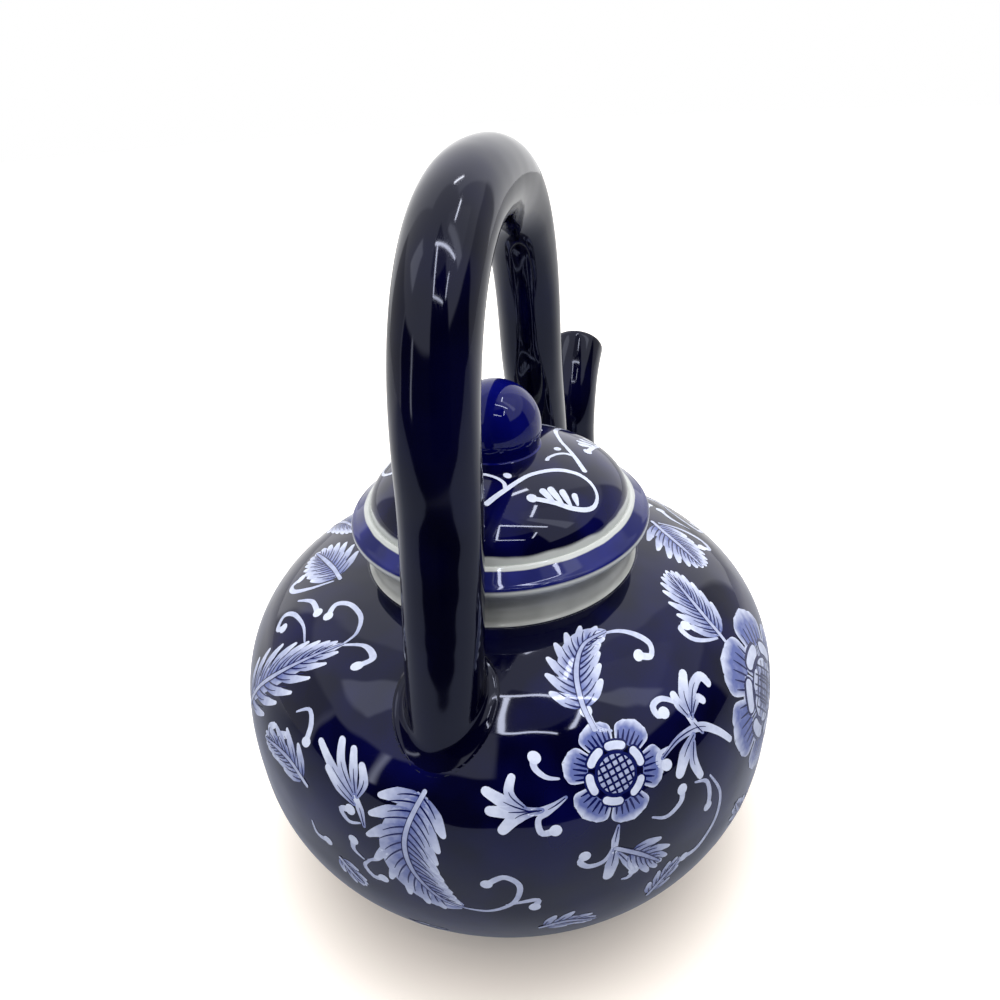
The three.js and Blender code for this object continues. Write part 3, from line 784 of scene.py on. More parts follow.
tubes = {
    "handleRadius": 9.2, "archHalfWidth": 45.5, "archSpringRise": 37.7, "archRise": 53.3, "archPower": 2.4,
    "nearSplay": 0.259, "farSplay": 0.393, "farKnee": 34.0, "legBend": 9.0, "legLength": 35.0,
    "handleFillet": 3.5,
    "rootLift": 30.0, "rootPull": 13.0, "rootLength": 18.0,
    "neck": (41.0, 38.0), "neckLean": 86.0, "neckPull": 19.0,
    "tip": (57.5, 64.5), "tipLean": 36.0,
    "rootRadius": 17.0, "neckRadius": 10.2, "lipRadius": 10.9, "lipLength": 14.0,
    "spoutWall": 3.0, "spoutFillet": 5.0,
    "lipInset": 0.36,  # the round of the lip starts this much before the path's end
    "flarePower": 1.5, "belly": 80.0, "sink": 0.8,
    "sides": 96, "filletSteps": 8, "handleStep": 1.1, "spoutStep": 0.9, "guideStep": 0.8,
}


def handlePath():
    t = tubes
    spring = bellyHeight + body["shoulderRise"] + t["archSpringRise"]

    def eased(length):
        return (math.hypot(length, t["legBend"]) + length) / 2

    def lean(side, drop):
        if side < 0:
            return t["nearSplay"] * eased(drop)
        return t["farSplay"] * (eased(drop) - eased(drop - t["farKnee"]))

    def placed(across, drop):
        return (across * (t["archHalfWidth"] + lean(across, drop)), spring - drop)

    made = [placed(-1, t["legLength"] * (1 - i / 40)) for i in range(40)]
    for i in range(361):
        angle = math.pi * i / 360
        across = -math.copysign(powerOf(abs(math.cos(angle)), t["archPower"]), math.cos(angle))
        made.append(placed(across, -t["archRise"] * powerOf(math.sin(angle), t["archPower"])))
    return made + [placed(1, t["legLength"] * i / 40) for i in range(1, 41)]


def wayUp(degrees):
    return Vector((math.cos(math.radians(degrees)), math.sin(math.radians(degrees))))


# The spout's middle line and its outer radius along it.
def spoutPath():
    t = tubes
    start = Vector(spoutRoot) + wayUp(t["rootLift"]) * t["rootLength"]
    neck = Vector((t["belly"] + t["neck"][0], bellyHeight + t["neck"][1]))
    tip = Vector((t["belly"] + t["tip"][0], bellyHeight + t["tip"][1]))
    tipPull = (tip - neck).length / 3

    def bezier(a, b, c, d, s):
        return a * (1 - s) ** 3 + b * 3 * s * (1 - s) ** 2 + c * 3 * s * s * (1 - s) + d * s ** 3

    rootWay, neckWay, tipWay = wayUp(t["rootLift"]), wayUp(t["neckLean"]), wayUp(t["tipLean"])
    lower = (start, start + rootWay * t["rootPull"], neck - neckWay * t["neckPull"], neck)
    upper = (neck, neck + neckWay * tipPull, tip - tipWay * tipPull, tip)
    flareFrom = 1 - t["lipLength"] / (3 * tipPull)
    points, radii = [], []
    for i in range(120):
        s = i / 120
        points.append(tuple(bezier(*lower, s)))
        radii.append(mix(t["neckRadius"], t["rootRadius"], (1 + math.cos(math.pi * s)) / 2))
    for i in range(81):
        s = i / 80
        points.append(tuple(bezier(*upper, s)))
        flare = max(0.0, s - flareFrom) / (1 - flareFrom)
        radii.append(t["neckRadius"] + (t["lipRadius"] - t["neckRadius"]) * flare ** t["flarePower"])
    return points, radii


# A straight rod along +X from rows of (distance along, radius, 1 for outer skin, root). A
# root is 0 along the rod, and at an end it counts the stages that lead into the wall, less
# than 0 at the start: up to 1 straight on, up to 2 round the fillet, up to 3 into the wall.
def straightRod(name, rows, sides, closed):
    points, faces = [], []
    for along, radius, _, _ in rows:
        for k in range(sides):
            turn = 2 * math.pi * k / sides
            points.append((along * mm, radius * mm * math.cos(turn), radius * mm * math.sin(turn)))
    spans = len(rows) if closed else len(rows) - 1
    for i in range(spans):
        low, high = i * sides, ((i + 1) % len(rows)) * sides
        for k in range(sides):
            n = (k + 1) % sides
            faces.append((low + n, low + k, high + k, high + n))
    if not closed:
        faces.append(list(range(sides)))
        faces.append([(len(rows) - 1) * sides + k for k in range(sides)][::-1])
    mesh = bpy.data.meshes.new(name)
    mesh.from_pydata(points, [], faces)
    for label, column in (("skin", 2), ("root", 3)):
        attribute = mesh.attributes.new(label, "FLOAT", "POINT")
        attribute.data.foreach_set("value", [row[column] for row in rows for _ in range(sides)])
    return newObject(name, mesh)


def bendTree():
    tree = newGeometryTree("bend rod onto pot", [
        ("Path", "NodeSocketObject"), ("Body", "NodeSocketObject"), ("Fillet", "NodeSocketFloat"),
        ("Sink", "NodeSocketFloat"), ("Material", "NodeSocketMaterial")])
    given = addNode(tree, "NodeGroupInput")

    path = addNode(tree, "GeometryNodeObjectInfo", {
        "Object": given["Path"]}, transform_space="RELATIVE")["Geometry"]
    wall = addNode(tree, "GeometryNodeObjectInfo", {
        "Object": given["Body"]}, transform_space="RELATIVE")["Geometry"]
    skin = addNode(tree, "GeometryNodeInputNamedAttribute", {"Name": "skin"}, data_type="FLOAT")[0]
    root = addNode(tree, "GeometryNodeInputNamedAttribute", {"Name": "root"}, data_type="FLOAT")[0]
    parts = addNode(tree, "ShaderNodeSeparateXYZ", {0: addNode(tree, "GeometryNodeInputPosition")[0]})
    length = addNode(tree, "GeometryNodeCurveLength", {0: path})[0]
    held = addNode(tree, "ShaderNodeMath", {0: parts["X"], 1: length}, operation="MINIMUM")[0]
    beyond = addNode(tree, "ShaderNodeMath", {0: parts["X"], 1: held}, operation="SUBTRACT")[0]
    sample = addNode(tree, "GeometryNodeSampleCurve", {"Curves": path, "Length": held}, mode="LENGTH")
    tangent = addNode(tree, "ShaderNodeVectorMath", {0: sample["Tangent"]}, operation="NORMALIZE")[0]
    outward = addNode(tree, "ShaderNodeVectorMath", {
        0: tangent, 1: (0, 1, 0)}, operation="CROSS_PRODUCT")[0]
    upPart = addNode(tree, "ShaderNodeVectorMath", {0: outward, 3: parts["Z"]}, operation="SCALE")[0]
    sidePart = addNode(tree, "ShaderNodeCombineXYZ", {"Y": parts["Y"]})[0]
    spoke = addNode(tree, "ShaderNodeVectorMath", {0: sidePart, 1: upPart}, operation="ADD")[0]
    onwards = addNode(tree, "ShaderNodeVectorMath", {0: tangent, 3: beyond}, operation="SCALE")[0]
    centre = addNode(tree, "ShaderNodeVectorMath", {
        0: sample["Position"], 1: onwards}, operation="ADD")[0]
    bent = addNode(tree, "ShaderNodeVectorMath", {0: centre, 1: spoke}, operation="ADD")[0]

    # Where this side meets the wall, and the round that turns it out along the wall.
    end = addNode(tree, "ShaderNodeMath", {0: root}, operation="SIGN")[0]
    way = addNode(tree, "ShaderNodeVectorMath", {0: tangent, 3: end}, operation="SCALE")[0]
    met = addNode(tree, "GeometryNodeRaycast", {
        "Target Geometry": wall, "Source Position": bent, "Ray Direction": way, "Ray Length": 0.2})
    corner, slope = met["Hit Position"], met["Hit Normal"]
    fillet = addNode(tree, "ShaderNodeMath", {0: given["Fillet"], 1: skin}, operation="MULTIPLY")[0]
    back = addNode(tree, "ShaderNodeVectorMath", {0: way, 3: fillet}, operation="SCALE")[0]
    turnIn = addNode(tree, "ShaderNodeVectorMath", {0: corner, 1: back}, operation="SUBTRACT")[0]
    tilt = addNode(tree, "ShaderNodeVectorMath", {0: spoke, 1: slope}, operation="DOT_PRODUCT")["Value"]
    offWall = addNode(tree, "ShaderNodeVectorMath", {0: slope, 3: tilt}, operation="SCALE")[0]
    onWall = addNode(tree, "ShaderNodeVectorMath", {0: spoke, 1: offWall}, operation="SUBTRACT")[0]
    along = addNode(tree, "ShaderNodeVectorMath", {0: onWall}, operation="NORMALIZE")[0]
    stride = addNode(tree, "ShaderNodeVectorMath", {0: along, 3: fillet}, operation="SCALE")[0]
    reach = addNode(tree, "ShaderNodeVectorMath", {0: corner, 1: stride}, operation="ADD")[0]
    landing = addNode(tree, "GeometryNodeProximity", {"Target": wall, "Source Position": reach},
                      target_element="FACES")["Position"]
    normalThere = addNode(tree, "GeometryNodeInputNormal")[0]
    inwards = addNode(tree, "GeometryNodeSampleNearestSurface", {
        "Mesh": wall, "Value": normalThere, "Sample Position": reach}, data_type="FLOAT_VECTOR")[0]
    deep = addNode(tree, "ShaderNodeVectorMath", {0: inwards, 3: given["Sink"]}, operation="SCALE")[0]
    buried = addNode(tree, "ShaderNodeVectorMath", {0: landing, 1: deep}, operation="SUBTRACT")[0]
    stage = addNode(tree, "ShaderNodeMath", {0: root}, operation="ABSOLUTE")[0]
    first, second, third = [addNode(tree, "ShaderNodeMath", {
        0: stage, 1: begun}, operation="SUBTRACT", use_clamp=True)[0] for begun in (0.0, 1.0, 2.0)]
    straight = addNode(tree, "ShaderNodeMix", {0: first, 4: bent, 5: turnIn}, data_type="VECTOR")[1]
    roundIn = addNode(tree, "ShaderNodeMix", {0: second, 4: straight, 5: corner}, data_type="VECTOR")[1]
    roundOut = addNode(tree, "ShaderNodeMix", {0: second, 4: corner, 5: landing}, data_type="VECTOR")[1]
    rounded = addNode(tree, "ShaderNodeMix", {
        0: second, 4: roundIn, 5: roundOut}, data_type="VECTOR")[1]
    rooted = addNode(tree, "ShaderNodeMix", {0: third, 4: rounded, 5: buried}, data_type="VECTOR")[1]
    moved = addNode(tree, "GeometryNodeSetPosition", {
        "Geometry": given["Geometry"], "Position": rooted})[0]
    real = addNode(tree, "GeometryNodeRealizeInstances", {0: moved})[0]
    glazed = addNode(tree, "GeometryNodeSetMaterial", {
        "Geometry": real, "Material": given["Material"]})[0]
    addNode(tree, "NodeGroupOutput", {0: glazed})
    return tree


# The body's outer skin alone, as the surface that the roots land on.
wallOutline = bodyOutline(body["foot"], body["mouth"], tubes["guideStep"])
wallLow, wallHigh = wallOutline[0][1], wallOutline[-1][1]
wallGuide = turnedPiece("wall guide", [(0.0, wallLow), *wallOutline, (0.0, wallHigh)], [])


def bendPiece(rod, path, fillet, tree):
    addModifier(rod, tree, {"Path": path, "Body": wallGuide, "Fillet": fillet * mm,
                            "Sink": tubes["sink"] * mm, "Material": tubeGlaze})
    bakeModifiers(rod)
    for label in ("skin", "root"):
        rod.data.attributes.remove(rod.data.attributes[label])
    rod.data.shade_smooth()
    bpy.data.objects.remove(path)


# Root stages from the wall out to the rod.
def rootStages(straightSteps, fillet):
    made = [3.0]
    if fillet:
        made += [2 - i / tubes["filletSteps"] for i in range(tubes["filletSteps"])]
    return made + [1 - i / straightSteps for i in range(straightSteps)]


def makeTubes():
    t = tubes
    tree = bendTree()
    flat = handlePath()
    length = sum(math.dist(a, b) for a, b in zip(flat, flat[1:]))
    count = round(length / t["handleStep"])
    stages = rootStages(9, True)
    rows = [(0.0, t["handleRadius"], 1.0, -stage) for stage in stages]
    rows += [(length * i / count, t["handleRadius"], 1.0, 0.0) for i in range(count + 1)]
    rows += [(length, t["handleRadius"], 1.0, stage) for stage in stages[::-1]]
    handle = straightRod("handleArch", rows, t["sides"], closed=False)
    bendPiece(handle, pathObject("handle path", flat, axisX), t["handleFillet"], tree)
    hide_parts("handle_arch")
    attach(handle, "pot")

    flat, radii = spoutPath()
    lengths = [0.0]
    for a, b in zip(flat, flat[1:]):
        lengths.append(lengths[-1] + math.dist(a, b))
    wall = t["spoutWall"]
    length = lengths[-1] - t["lipInset"]
    line = [point for point in evenly(list(zip(lengths, radii)), t["spoutStep"]) if point[0] < length]
    outside = [(0.0, radii[0], 1.0, -stage) for stage in rootStages(12, True)]
    outside += [(along, radius, 1.0, 0.0) for along, radius in line]
    lipMiddle = radii[-1] - wall / 2
    lip = [(length + wall / 2 * math.sin(a), lipMiddle + wall / 2 * math.cos(a), 0.0, 0.0)
           for a in [math.pi * i / 10 for i in range(1, 10)]]
    bore = [(along, radius - wall, 0.0, 0.0) for along, radius in line][::-1]
    bore += [(0.0, radii[0] - wall, 0.0, -stage) for stage in rootStages(12, False)[::-1]]
    spout = straightRod("spout", outside + lip + bore, t["sides"], closed=True)
    bendPiece(spout, pathObject("spout path", flat, axisX), t["spoutFillet"], tree)
    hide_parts("spout")
    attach(spout, "pot")


makeTubes()
bpy.data.objects.remove(wallGuide)
print("handle and spout bent onto the body")


# Print: flowers, leaves and scrolls drawn flat in mm, then laid on the curved wall. A shape
# is a grid of points, each with a tint from 0, white, to 1, blue wash. Within a group every
# stroke lies a little higher than the one before, and each sheet has its own height over the
# glaze, in mm.

layerRise = 0.0006
groupLayers = 5  # neighbouring groups start at as many different heights
groupRise = 0.2


def newSheet(lift):
    return {"points": [], "faces": [], "tints": [], "anchors": [], "lift": lift,
            "place": (0, 0, 0), "groups": 0, "layer": 0.0}


# Starts a group at an azimuth in degrees and a way up the wall in mm. A group that is
# drawn once isn't repeated on the pot's other side.
def startGroup(sheets, azimuth, wayUpWall, once=False):
    for sheet in sheets:
        sheet["place"] = (math.radians(azimuth), wayUpWall * mm, 1.0 if once else 0.0)
        sheet["groups"] += 1
        sheet["layer"] = groupRise * (sheet["groups"] % groupLayers)


def addGrid(sheet, rows, tintAt):
    first = len(sheet["points"])
    sheet["layer"] += 1
    lift = sheet["lift"] + sheet["layer"] * layerRise
    columns = len(rows[0])
    for i, row in enumerate(rows):
        for j, (u, v) in enumerate(row):
            sheet["points"].append((u * mm, v * mm, lift * mm))
            sheet["tints"].append(clamp(tintAt(i / (len(rows) - 1), j / (columns - 1))))
            sheet["anchors"].append(sheet["place"])
    for i in range(len(rows) - 1):
        for j in range(columns - 1):
            a = first + i * columns + j
            sheet["faces"].append((a, a + 1, a + columns + 1, a + columns))


# A smooth line through points, in steps of about half a mm.
def smoothLine(points, step=0.6):
    ends = [points[0]] + list(points) + [points[-1]]
    fine = []
    for i in range(1, len(ends) - 2):
        a, b, c, d = [Vector(p[:2]) for p in ends[i - 1:i + 3]]
        for k in range(12):
            t = k / 12
            fine.append(tuple(0.5 * (2 * b + (c - a) * t + (2 * a - 5 * b + 4 * c - d) * t * t
                                     + (3 * b - a - 3 * c + d) * t ** 3)))
    fine.append(tuple(points[-1][:2]))
    return evenly(fine, step)


def sideWays(line):
    made = []
    for i in range(len(line)):
        run = Vector(line[min(i + 1, len(line) - 1)]) - Vector(line[max(i - 1, 0)])
        run.normalize()
        made.append(Vector((-run.y, run.x)))
    return made


# Closer points at both ends of a line, for a round tip.
def tipped(line):
    shares = (0.06, 0.22, 0.5)
    first = [tuple(Vector(line[0]).lerp(Vector(line[1]), share)) for share in shares]
    final = [tuple(Vector(line[-1]).lerp(Vector(line[-2]), share)) for share in shares[::-1]]
    return [line[0]] + first + list(line[1:-1]) + final + [line[-1]]


# A brush stroke along a line, with three widths in mm from its start to its end and round tips.
def addStroke(sheet, line, widths, tints=(0.0, 0.0)):
    line = tipped(line)
    sides = sideWays(line)
    gone = [0.0]
    for a, b in zip(line, line[1:]):
        gone.append(gone[-1] + math.dist(a, b))
    total = gone[-1]
    rows = []
    for along, point, side in zip(gone, line, sides):
        t = along / total
        width = mix(widths[0], widths[1], t * 2) if t < 0.5 else mix(widths[1], widths[2], t * 2 - 1)
        room = min(t, 1 - t) * total / (width / 2)
        half = width / 2 * math.sqrt(1 - (1 - min(room, 1.0)) ** 2)
        rows.append([tuple(Vector(point) + side * half * c) for c in (-1, 0, 1)])
    addGrid(sheet, rows, lambda t, c: mix(tints[0], tints[1], t))


def addDisc(sheet, centre, radius, tint=0.0):
    rows = []
    for i in range(4):
        reach = radius * (0.02 + 0.98 * i / 3)
        turns = [math.pi * k / 8 for k in range(17)]
        rows.append([(centre[0] + reach * math.cos(a), centre[1] + reach * math.sin(a)) for a in turns])
    addGrid(sheet, rows[::-1], lambda t, c: tint)


# A scroll ends in a round bulb.
def addScroll(sheet, points, width=1.35, bulb=1.5):
    line = smoothLine(points)
    addStroke(sheet, line, (width * 0.4, width, width * 1.3), (0.45, 0.1))
    if bulb:
        addDisc(sheet, points[-1], bulb)


# One finger of a leaf: it leaves the midrib and bends towards the leaf's tip.
def fingerLine(base, angle, length, bend):
    points = []
    here = Vector(base)
    for i in range(5):
        points.append(tuple(here))
        turned = angle + bend * i / 4
        here = here + Vector((math.cos(turned), math.sin(turned))) * length / 4
    return smoothLine(points, 0.7)


# Widths in mm of the finer strokes, at their start, their middle and their end.
brush = {
    "hatch": (0.5, 0.42, 0.16), "midribEdge": (1.2, 1.9, 0.9), "midrib": (1.1, 1.15, 0.5),
    "lobeVein": (0.3, 0.35, 0.15), "petalHatch": (0.6, 0.55, 0.22), "lattice": (0.5, 0.55, 0.5),
}
hatchReach = (0.58, 0.72)  # shares of a finger's length, by turns
fingerBend = 0.5           # radians, towards the leaf's tip


# A feathered leaf: a narrow blade with a midrib, and on both sides fingers, white at their tips,
# that are longest in its lower half. Dark hatching runs out from the midrib.
def addLeaf(sheets, spine, reach, counts, lean, width, stem, blade):
    pale, ink, vein = sheets
    line = smoothLine(spine, 0.5)
    sides = sideWays(line)
    last = len(line) - 1
    first = int(last * stem)
    rows = []
    for i in range(first, last + 1, 2):
        grown = (i - first) / (last - first)
        half = reach * blade * math.sin(math.pi * mix(0.03, 0.99, grown)) ** 0.7
        rows.append([tuple(Vector(line[i]) + sides[i] * half * (j / 4 - 1)) for j in range(9)])
    addGrid(pale, rows, lambda t, c: 1.1 - 0.65 * abs(2 * c - 1))

    # Where a finger or a hatching line starts, its angle and its length.
    def growth(side, grown):
        at = int(last * mix(stem, 0.90, grown))
        along = math.atan2(-sides[at].x, sides[at].y)
        angle = along + side * math.radians(mix(lean + 12, lean - 22, grown))
        return line[at], angle, reach * math.sin(math.pi * mix(0.30, 0.93, grown)) ** 0.8

    for side, count in ((1, counts[0]), (-1, counts[1])):
        for i in range(count):
            grown = (i + 0.35) / count
            base, angle, length = growth(side, grown)
            finger = fingerLine(base, angle, length, -side * fingerBend)
            thick = width * mix(1.15, 0.85, grown)
            addStroke(pale, finger, (thick * 0.9, thick, thick * 0.3), (1.3, -0.2))
        for i in range(count * 2):
            base, angle, length = growth(side, (i + 0.2) / (count * 2))
            hatch = fingerLine(base, angle, length * hatchReach[i % 2], -side * fingerBend)
            addStroke(ink, hatch, brush["hatch"], (0.4, 0.0))
    tipAngle = math.atan2(-sides[-1].x, sides[-1].y)
    tip = fingerLine(line[int(last * 0.86)], tipAngle, reach * 0.42, 0)
    addStroke(pale, tip, (width, width * 0.8, width * 0.3), (0.8, -0.3))
    addStroke(ink, line, brush["midribEdge"], (0.3, 0.3))
    addStroke(vein, line, brush["midrib"], (0.35, 0.7))


# A lobe swells out of its stem and ends in a white tip, with a dark vein in it.
def addLobe(sheets, points, width):
    line = smoothLine(points)
    addStroke(sheets[0], line, (width * 0.35, width, width * 0.7), (1.0, -0.3))
    addStroke(sheets[1], line[1:int(len(line) * 0.6)], brush["lobeVein"], (0.3, 0.0))


# Radii in mm of a flower of size 1, and how far its lattice lines lie apart.
flower = {
    "petalFrom": 7.4, "petalTo": 13.8, "hatchFrom": 7.6, "hatchTo": 11.4, "hatchCount": 6,
    "scallops": 7.0, "disc": 5.7, "heart": 4.9, "latticeStep": 1.72,
}


# A flower: petals with hatching round a ring of white scallops and a centre disc. The
# petals' middles are angles in degrees, and the scallops lie between them.
def addFlower(sheets, size, petals):
    pale, ink, vein = sheets
    petals = [math.radians(angle) for angle in petals]

    def polar(radius, angle):
        return (size * radius * math.cos(angle), size * radius * math.sin(angle))

    for k, middle in enumerate(petals):
        gap = (petals[(k + 1) % len(petals)] - middle) % (2 * math.pi)
        gapBefore = (middle - petals[k - 1]) % (2 * math.pi)
        wide = min(gap, gapBefore) / 2 + math.radians(3)
        rows = []
        for i in range(15):
            grown = i / 14
            half = (wide - math.radians(4.5)) * (1 - grown ** 7) ** 0.45 + 0.001
            row = []
            for j in range(13):
                across = j / 6 - 1
                rim = flower["petalTo"] - 0.5 * across ** 4 + 0.3 * math.cos(across * 4.5 * math.pi)
                row.append(polar(mix(flower["petalFrom"], rim, grown), middle - across * half))
            rows.append(row)
        addGrid(pale, rows, lambda t, c: 1.3 - 1.2 * max(abs(2 * c - 1) ** 4, clamp((t - 0.55) / 0.42)))
        for j in range(flower["hatchCount"]):
            across = (j - (flower["hatchCount"] - 1) / 2) / 3.1
            start, end = flower["hatchFrom"], flower["hatchTo"] - 0.9 * abs(across)
            way = middle + across * wide * 0.82
            hatch = [polar(mix(start, end, i / 6), way) for i in range(7)]
            addStroke(ink, hatch, brush["petalHatch"], (0.0, 0.4))
        scallop = middle + gap / 2
        for sheet, half, thick in ((ink, 26, 3.1), (vein, 23, 2.0)):
            turns = [scallop + math.radians(half) * (1 - i / 10) for i in range(21)]
            arc = [polar(flower["scallops"], turn) for turn in turns]
            addStroke(sheet, arc, (thick * size, thick * size * 1.05, thick * size), (0.15, 0.05))
    addDisc(ink, (0, 0), flower["disc"] * size)
    addDisc(vein, (0, 0), flower["heart"] * size, 0.55)


# The dark lattice over the flower's centre.
def addLattice(sheet, size, turn):
    turn = math.radians(turn)
    for way in (turn, turn + math.pi / 2):
        along, across = Vector((math.cos(way), math.sin(way))), Vector((-math.sin(way), math.cos(way)))
        for k in range(-2, 3):
            off = flower["latticeStep"] * k
            half = math.sqrt(flower["heart"] ** 2 - off ** 2)
            start, end = (across * off - along * half) * size, (across * off + along * half) * size
            line = [tuple(start.lerp(end, i / 8)) for i in range(9)]
            addStroke(sheet, line, brush["lattice"], (0.6, 0.6))


# Lays a sheet on a wall: up along its outline and round its axis, a given number of times.
def printTree():
    tree = newGeometryTree("lay print on wall", [
        ("Outline", "NodeSocketObject"), ("Copies", "NodeSocketInt"), ("Axis", "NodeSocketVector"),
        ("Middle", "NodeSocketVector"), ("Material", "NodeSocketMaterial")])
    given = addNode(tree, "NodeGroupInput")
    outline = addNode(tree, "GeometryNodeObjectInfo", {
        "Object": given["Outline"]}, transform_space="RELATIVE")["Geometry"]
    points = addNode(tree, "GeometryNodeMeshLine", {"Count": given["Copies"], "Offset": (0, 0, 0)})[0]
    index = addNode(tree, "GeometryNodeInputIndex")[0]
    share = addNode(tree, "ShaderNodeMath", {0: index, 1: given["Copies"]}, operation="DIVIDE")[0]
    angle = addNode(tree, "ShaderNodeMath", {0: share, 1: 2 * math.pi}, operation="MULTIPLY")[0]
    marked = addNode(tree, "GeometryNodeStoreNamedAttribute", {
        "Geometry": points, "Name": "sweep", "Value": angle},
                     data_type="FLOAT", domain="POINT")[0]
    copies = addNode(tree, "GeometryNodeInstanceOnPoints", {
        "Points": marked, "Instance": given["Geometry"]})[0]
    real = addNode(tree, "GeometryNodeRealizeInstances", {0: copies})[0]
    sweep = addNode(tree, "GeometryNodeInputNamedAttribute", {"Name": "sweep"}, data_type="FLOAT")[0]
    stored = addNode(tree, "GeometryNodeInputNamedAttribute", {
        "Name": "anchor"}, data_type="FLOAT_VECTOR")[0]
    anchor = addNode(tree, "ShaderNodeSeparateXYZ", {0: stored})
    again = addNode(tree, "ShaderNodeMath", {0: anchor["Z"], 1: sweep}, operation="MULTIPLY")[0]
    spare = addNode(tree, "FunctionNodeCompare", {
        0: again, 1: 0.5}, data_type="FLOAT", operation="GREATER_THAN")[0]
    kept = addNode(tree, "GeometryNodeDeleteGeometry", {0: real, 1: spare}, domain="POINT")[0]
    local = addNode(tree, "ShaderNodeSeparateXYZ", {0: addNode(tree, "GeometryNodeInputPosition")[0]})
    way = addNode(tree, "ShaderNodeMath", {0: anchor["Y"], 1: local["Y"]}, operation="ADD")[0]
    sample = addNode(tree, "GeometryNodeSampleCurve", {"Curves": outline, "Length": way}, mode="LENGTH")
    radius = addNode(tree, "ShaderNodeSeparateXYZ", {0: sample["Position"]})["X"]
    onwards = addNode(tree, "ShaderNodeMath", {0: local["X"], 1: radius}, operation="DIVIDE")[0]
    started = addNode(tree, "ShaderNodeMath", {0: anchor["X"], 1: sweep}, operation="ADD")[0]
    azimuth = addNode(tree, "ShaderNodeMath", {0: started, 1: onwards}, operation="ADD")[0]
    off = addNode(tree, "ShaderNodeVectorMath", {
        0: (0, 1, 0), 1: sample["Tangent"]}, operation="CROSS_PRODUCT")[0]
    away = addNode(tree, "ShaderNodeVectorMath", {0: off}, operation="NORMALIZE")[0]
    lifted = addNode(tree, "ShaderNodeVectorMath", {0: away, 3: local["Z"]}, operation="SCALE")[0]
    flat = addNode(tree, "ShaderNodeVectorMath", {0: sample["Position"], 1: lifted}, operation="ADD")[0]
    turned = addNode(tree, "ShaderNodeVectorRotate", {
        "Vector": flat, "Angle": azimuth}, rotation_type="Z_AXIS")[0]
    placed = addNode(tree, "ShaderNodeVectorMath", {0: turned, 1: given["Axis"]}, operation="ADD")[0]
    laid = addNode(tree, "GeometryNodeSetPosition", {"Geometry": kept, "Position": placed})[0]
    now = addNode(tree, "GeometryNodeInputPosition")[0]
    outwards = addNode(tree, "ShaderNodeVectorMath", {
        0: now, 1: given["Middle"]}, operation="SUBTRACT")[0]
    normal = addNode(tree, "GeometryNodeInputNormal")[0]
    facing = addNode(tree, "ShaderNodeVectorMath", {
        0: normal, 1: outwards}, operation="DOT_PRODUCT")["Value"]
    wrong = addNode(tree, "FunctionNodeCompare", {
        0: facing, 1: 0.0}, data_type="FLOAT", operation="LESS_THAN")[0]
    flipped = addNode(tree, "GeometryNodeFlipFaces", {0: laid, 1: wrong})[0]
    whole = addNode(tree, "GeometryNodeRealizeInstances", {0: flipped})[0]
    glazed = addNode(tree, "GeometryNodeSetMaterial", {
        "Geometry": whole, "Material": given["Material"]})[0]
    addNode(tree, "NodeGroupOutput", {0: glazed})
    return tree


wallPrint = printTree()


def laySheet(name, sheet, outline, copies, middle, material, body):
    mesh = bpy.data.meshes.new(name)
    mesh.from_pydata(sheet["points"], [], sheet["faces"])
    mesh.attributes.new("tint", "FLOAT", "POINT").data.foreach_set("value", sheet["tints"])
    flatAnchors = [value for anchor in sheet["anchors"] for value in anchor]
    mesh.attributes.new("anchor", "FLOAT_VECTOR", "POINT").data.foreach_set("vector", flatAnchors)
    piece = newObject(name, mesh)
    addModifier(piece, wallPrint, {"Outline": outline, "Copies": copies, "Axis": (axisX, 0, 0),
                                   "Middle": (axisX, 0, middle * mm), "Material": material})
    bakeModifiers(piece)
    for label in ("anchor", "sweep"):
        if label in piece.data.attributes:
            piece.data.attributes.remove(piece.data.attributes[label])
    piece.data.shade_smooth()
    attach(piece, body)


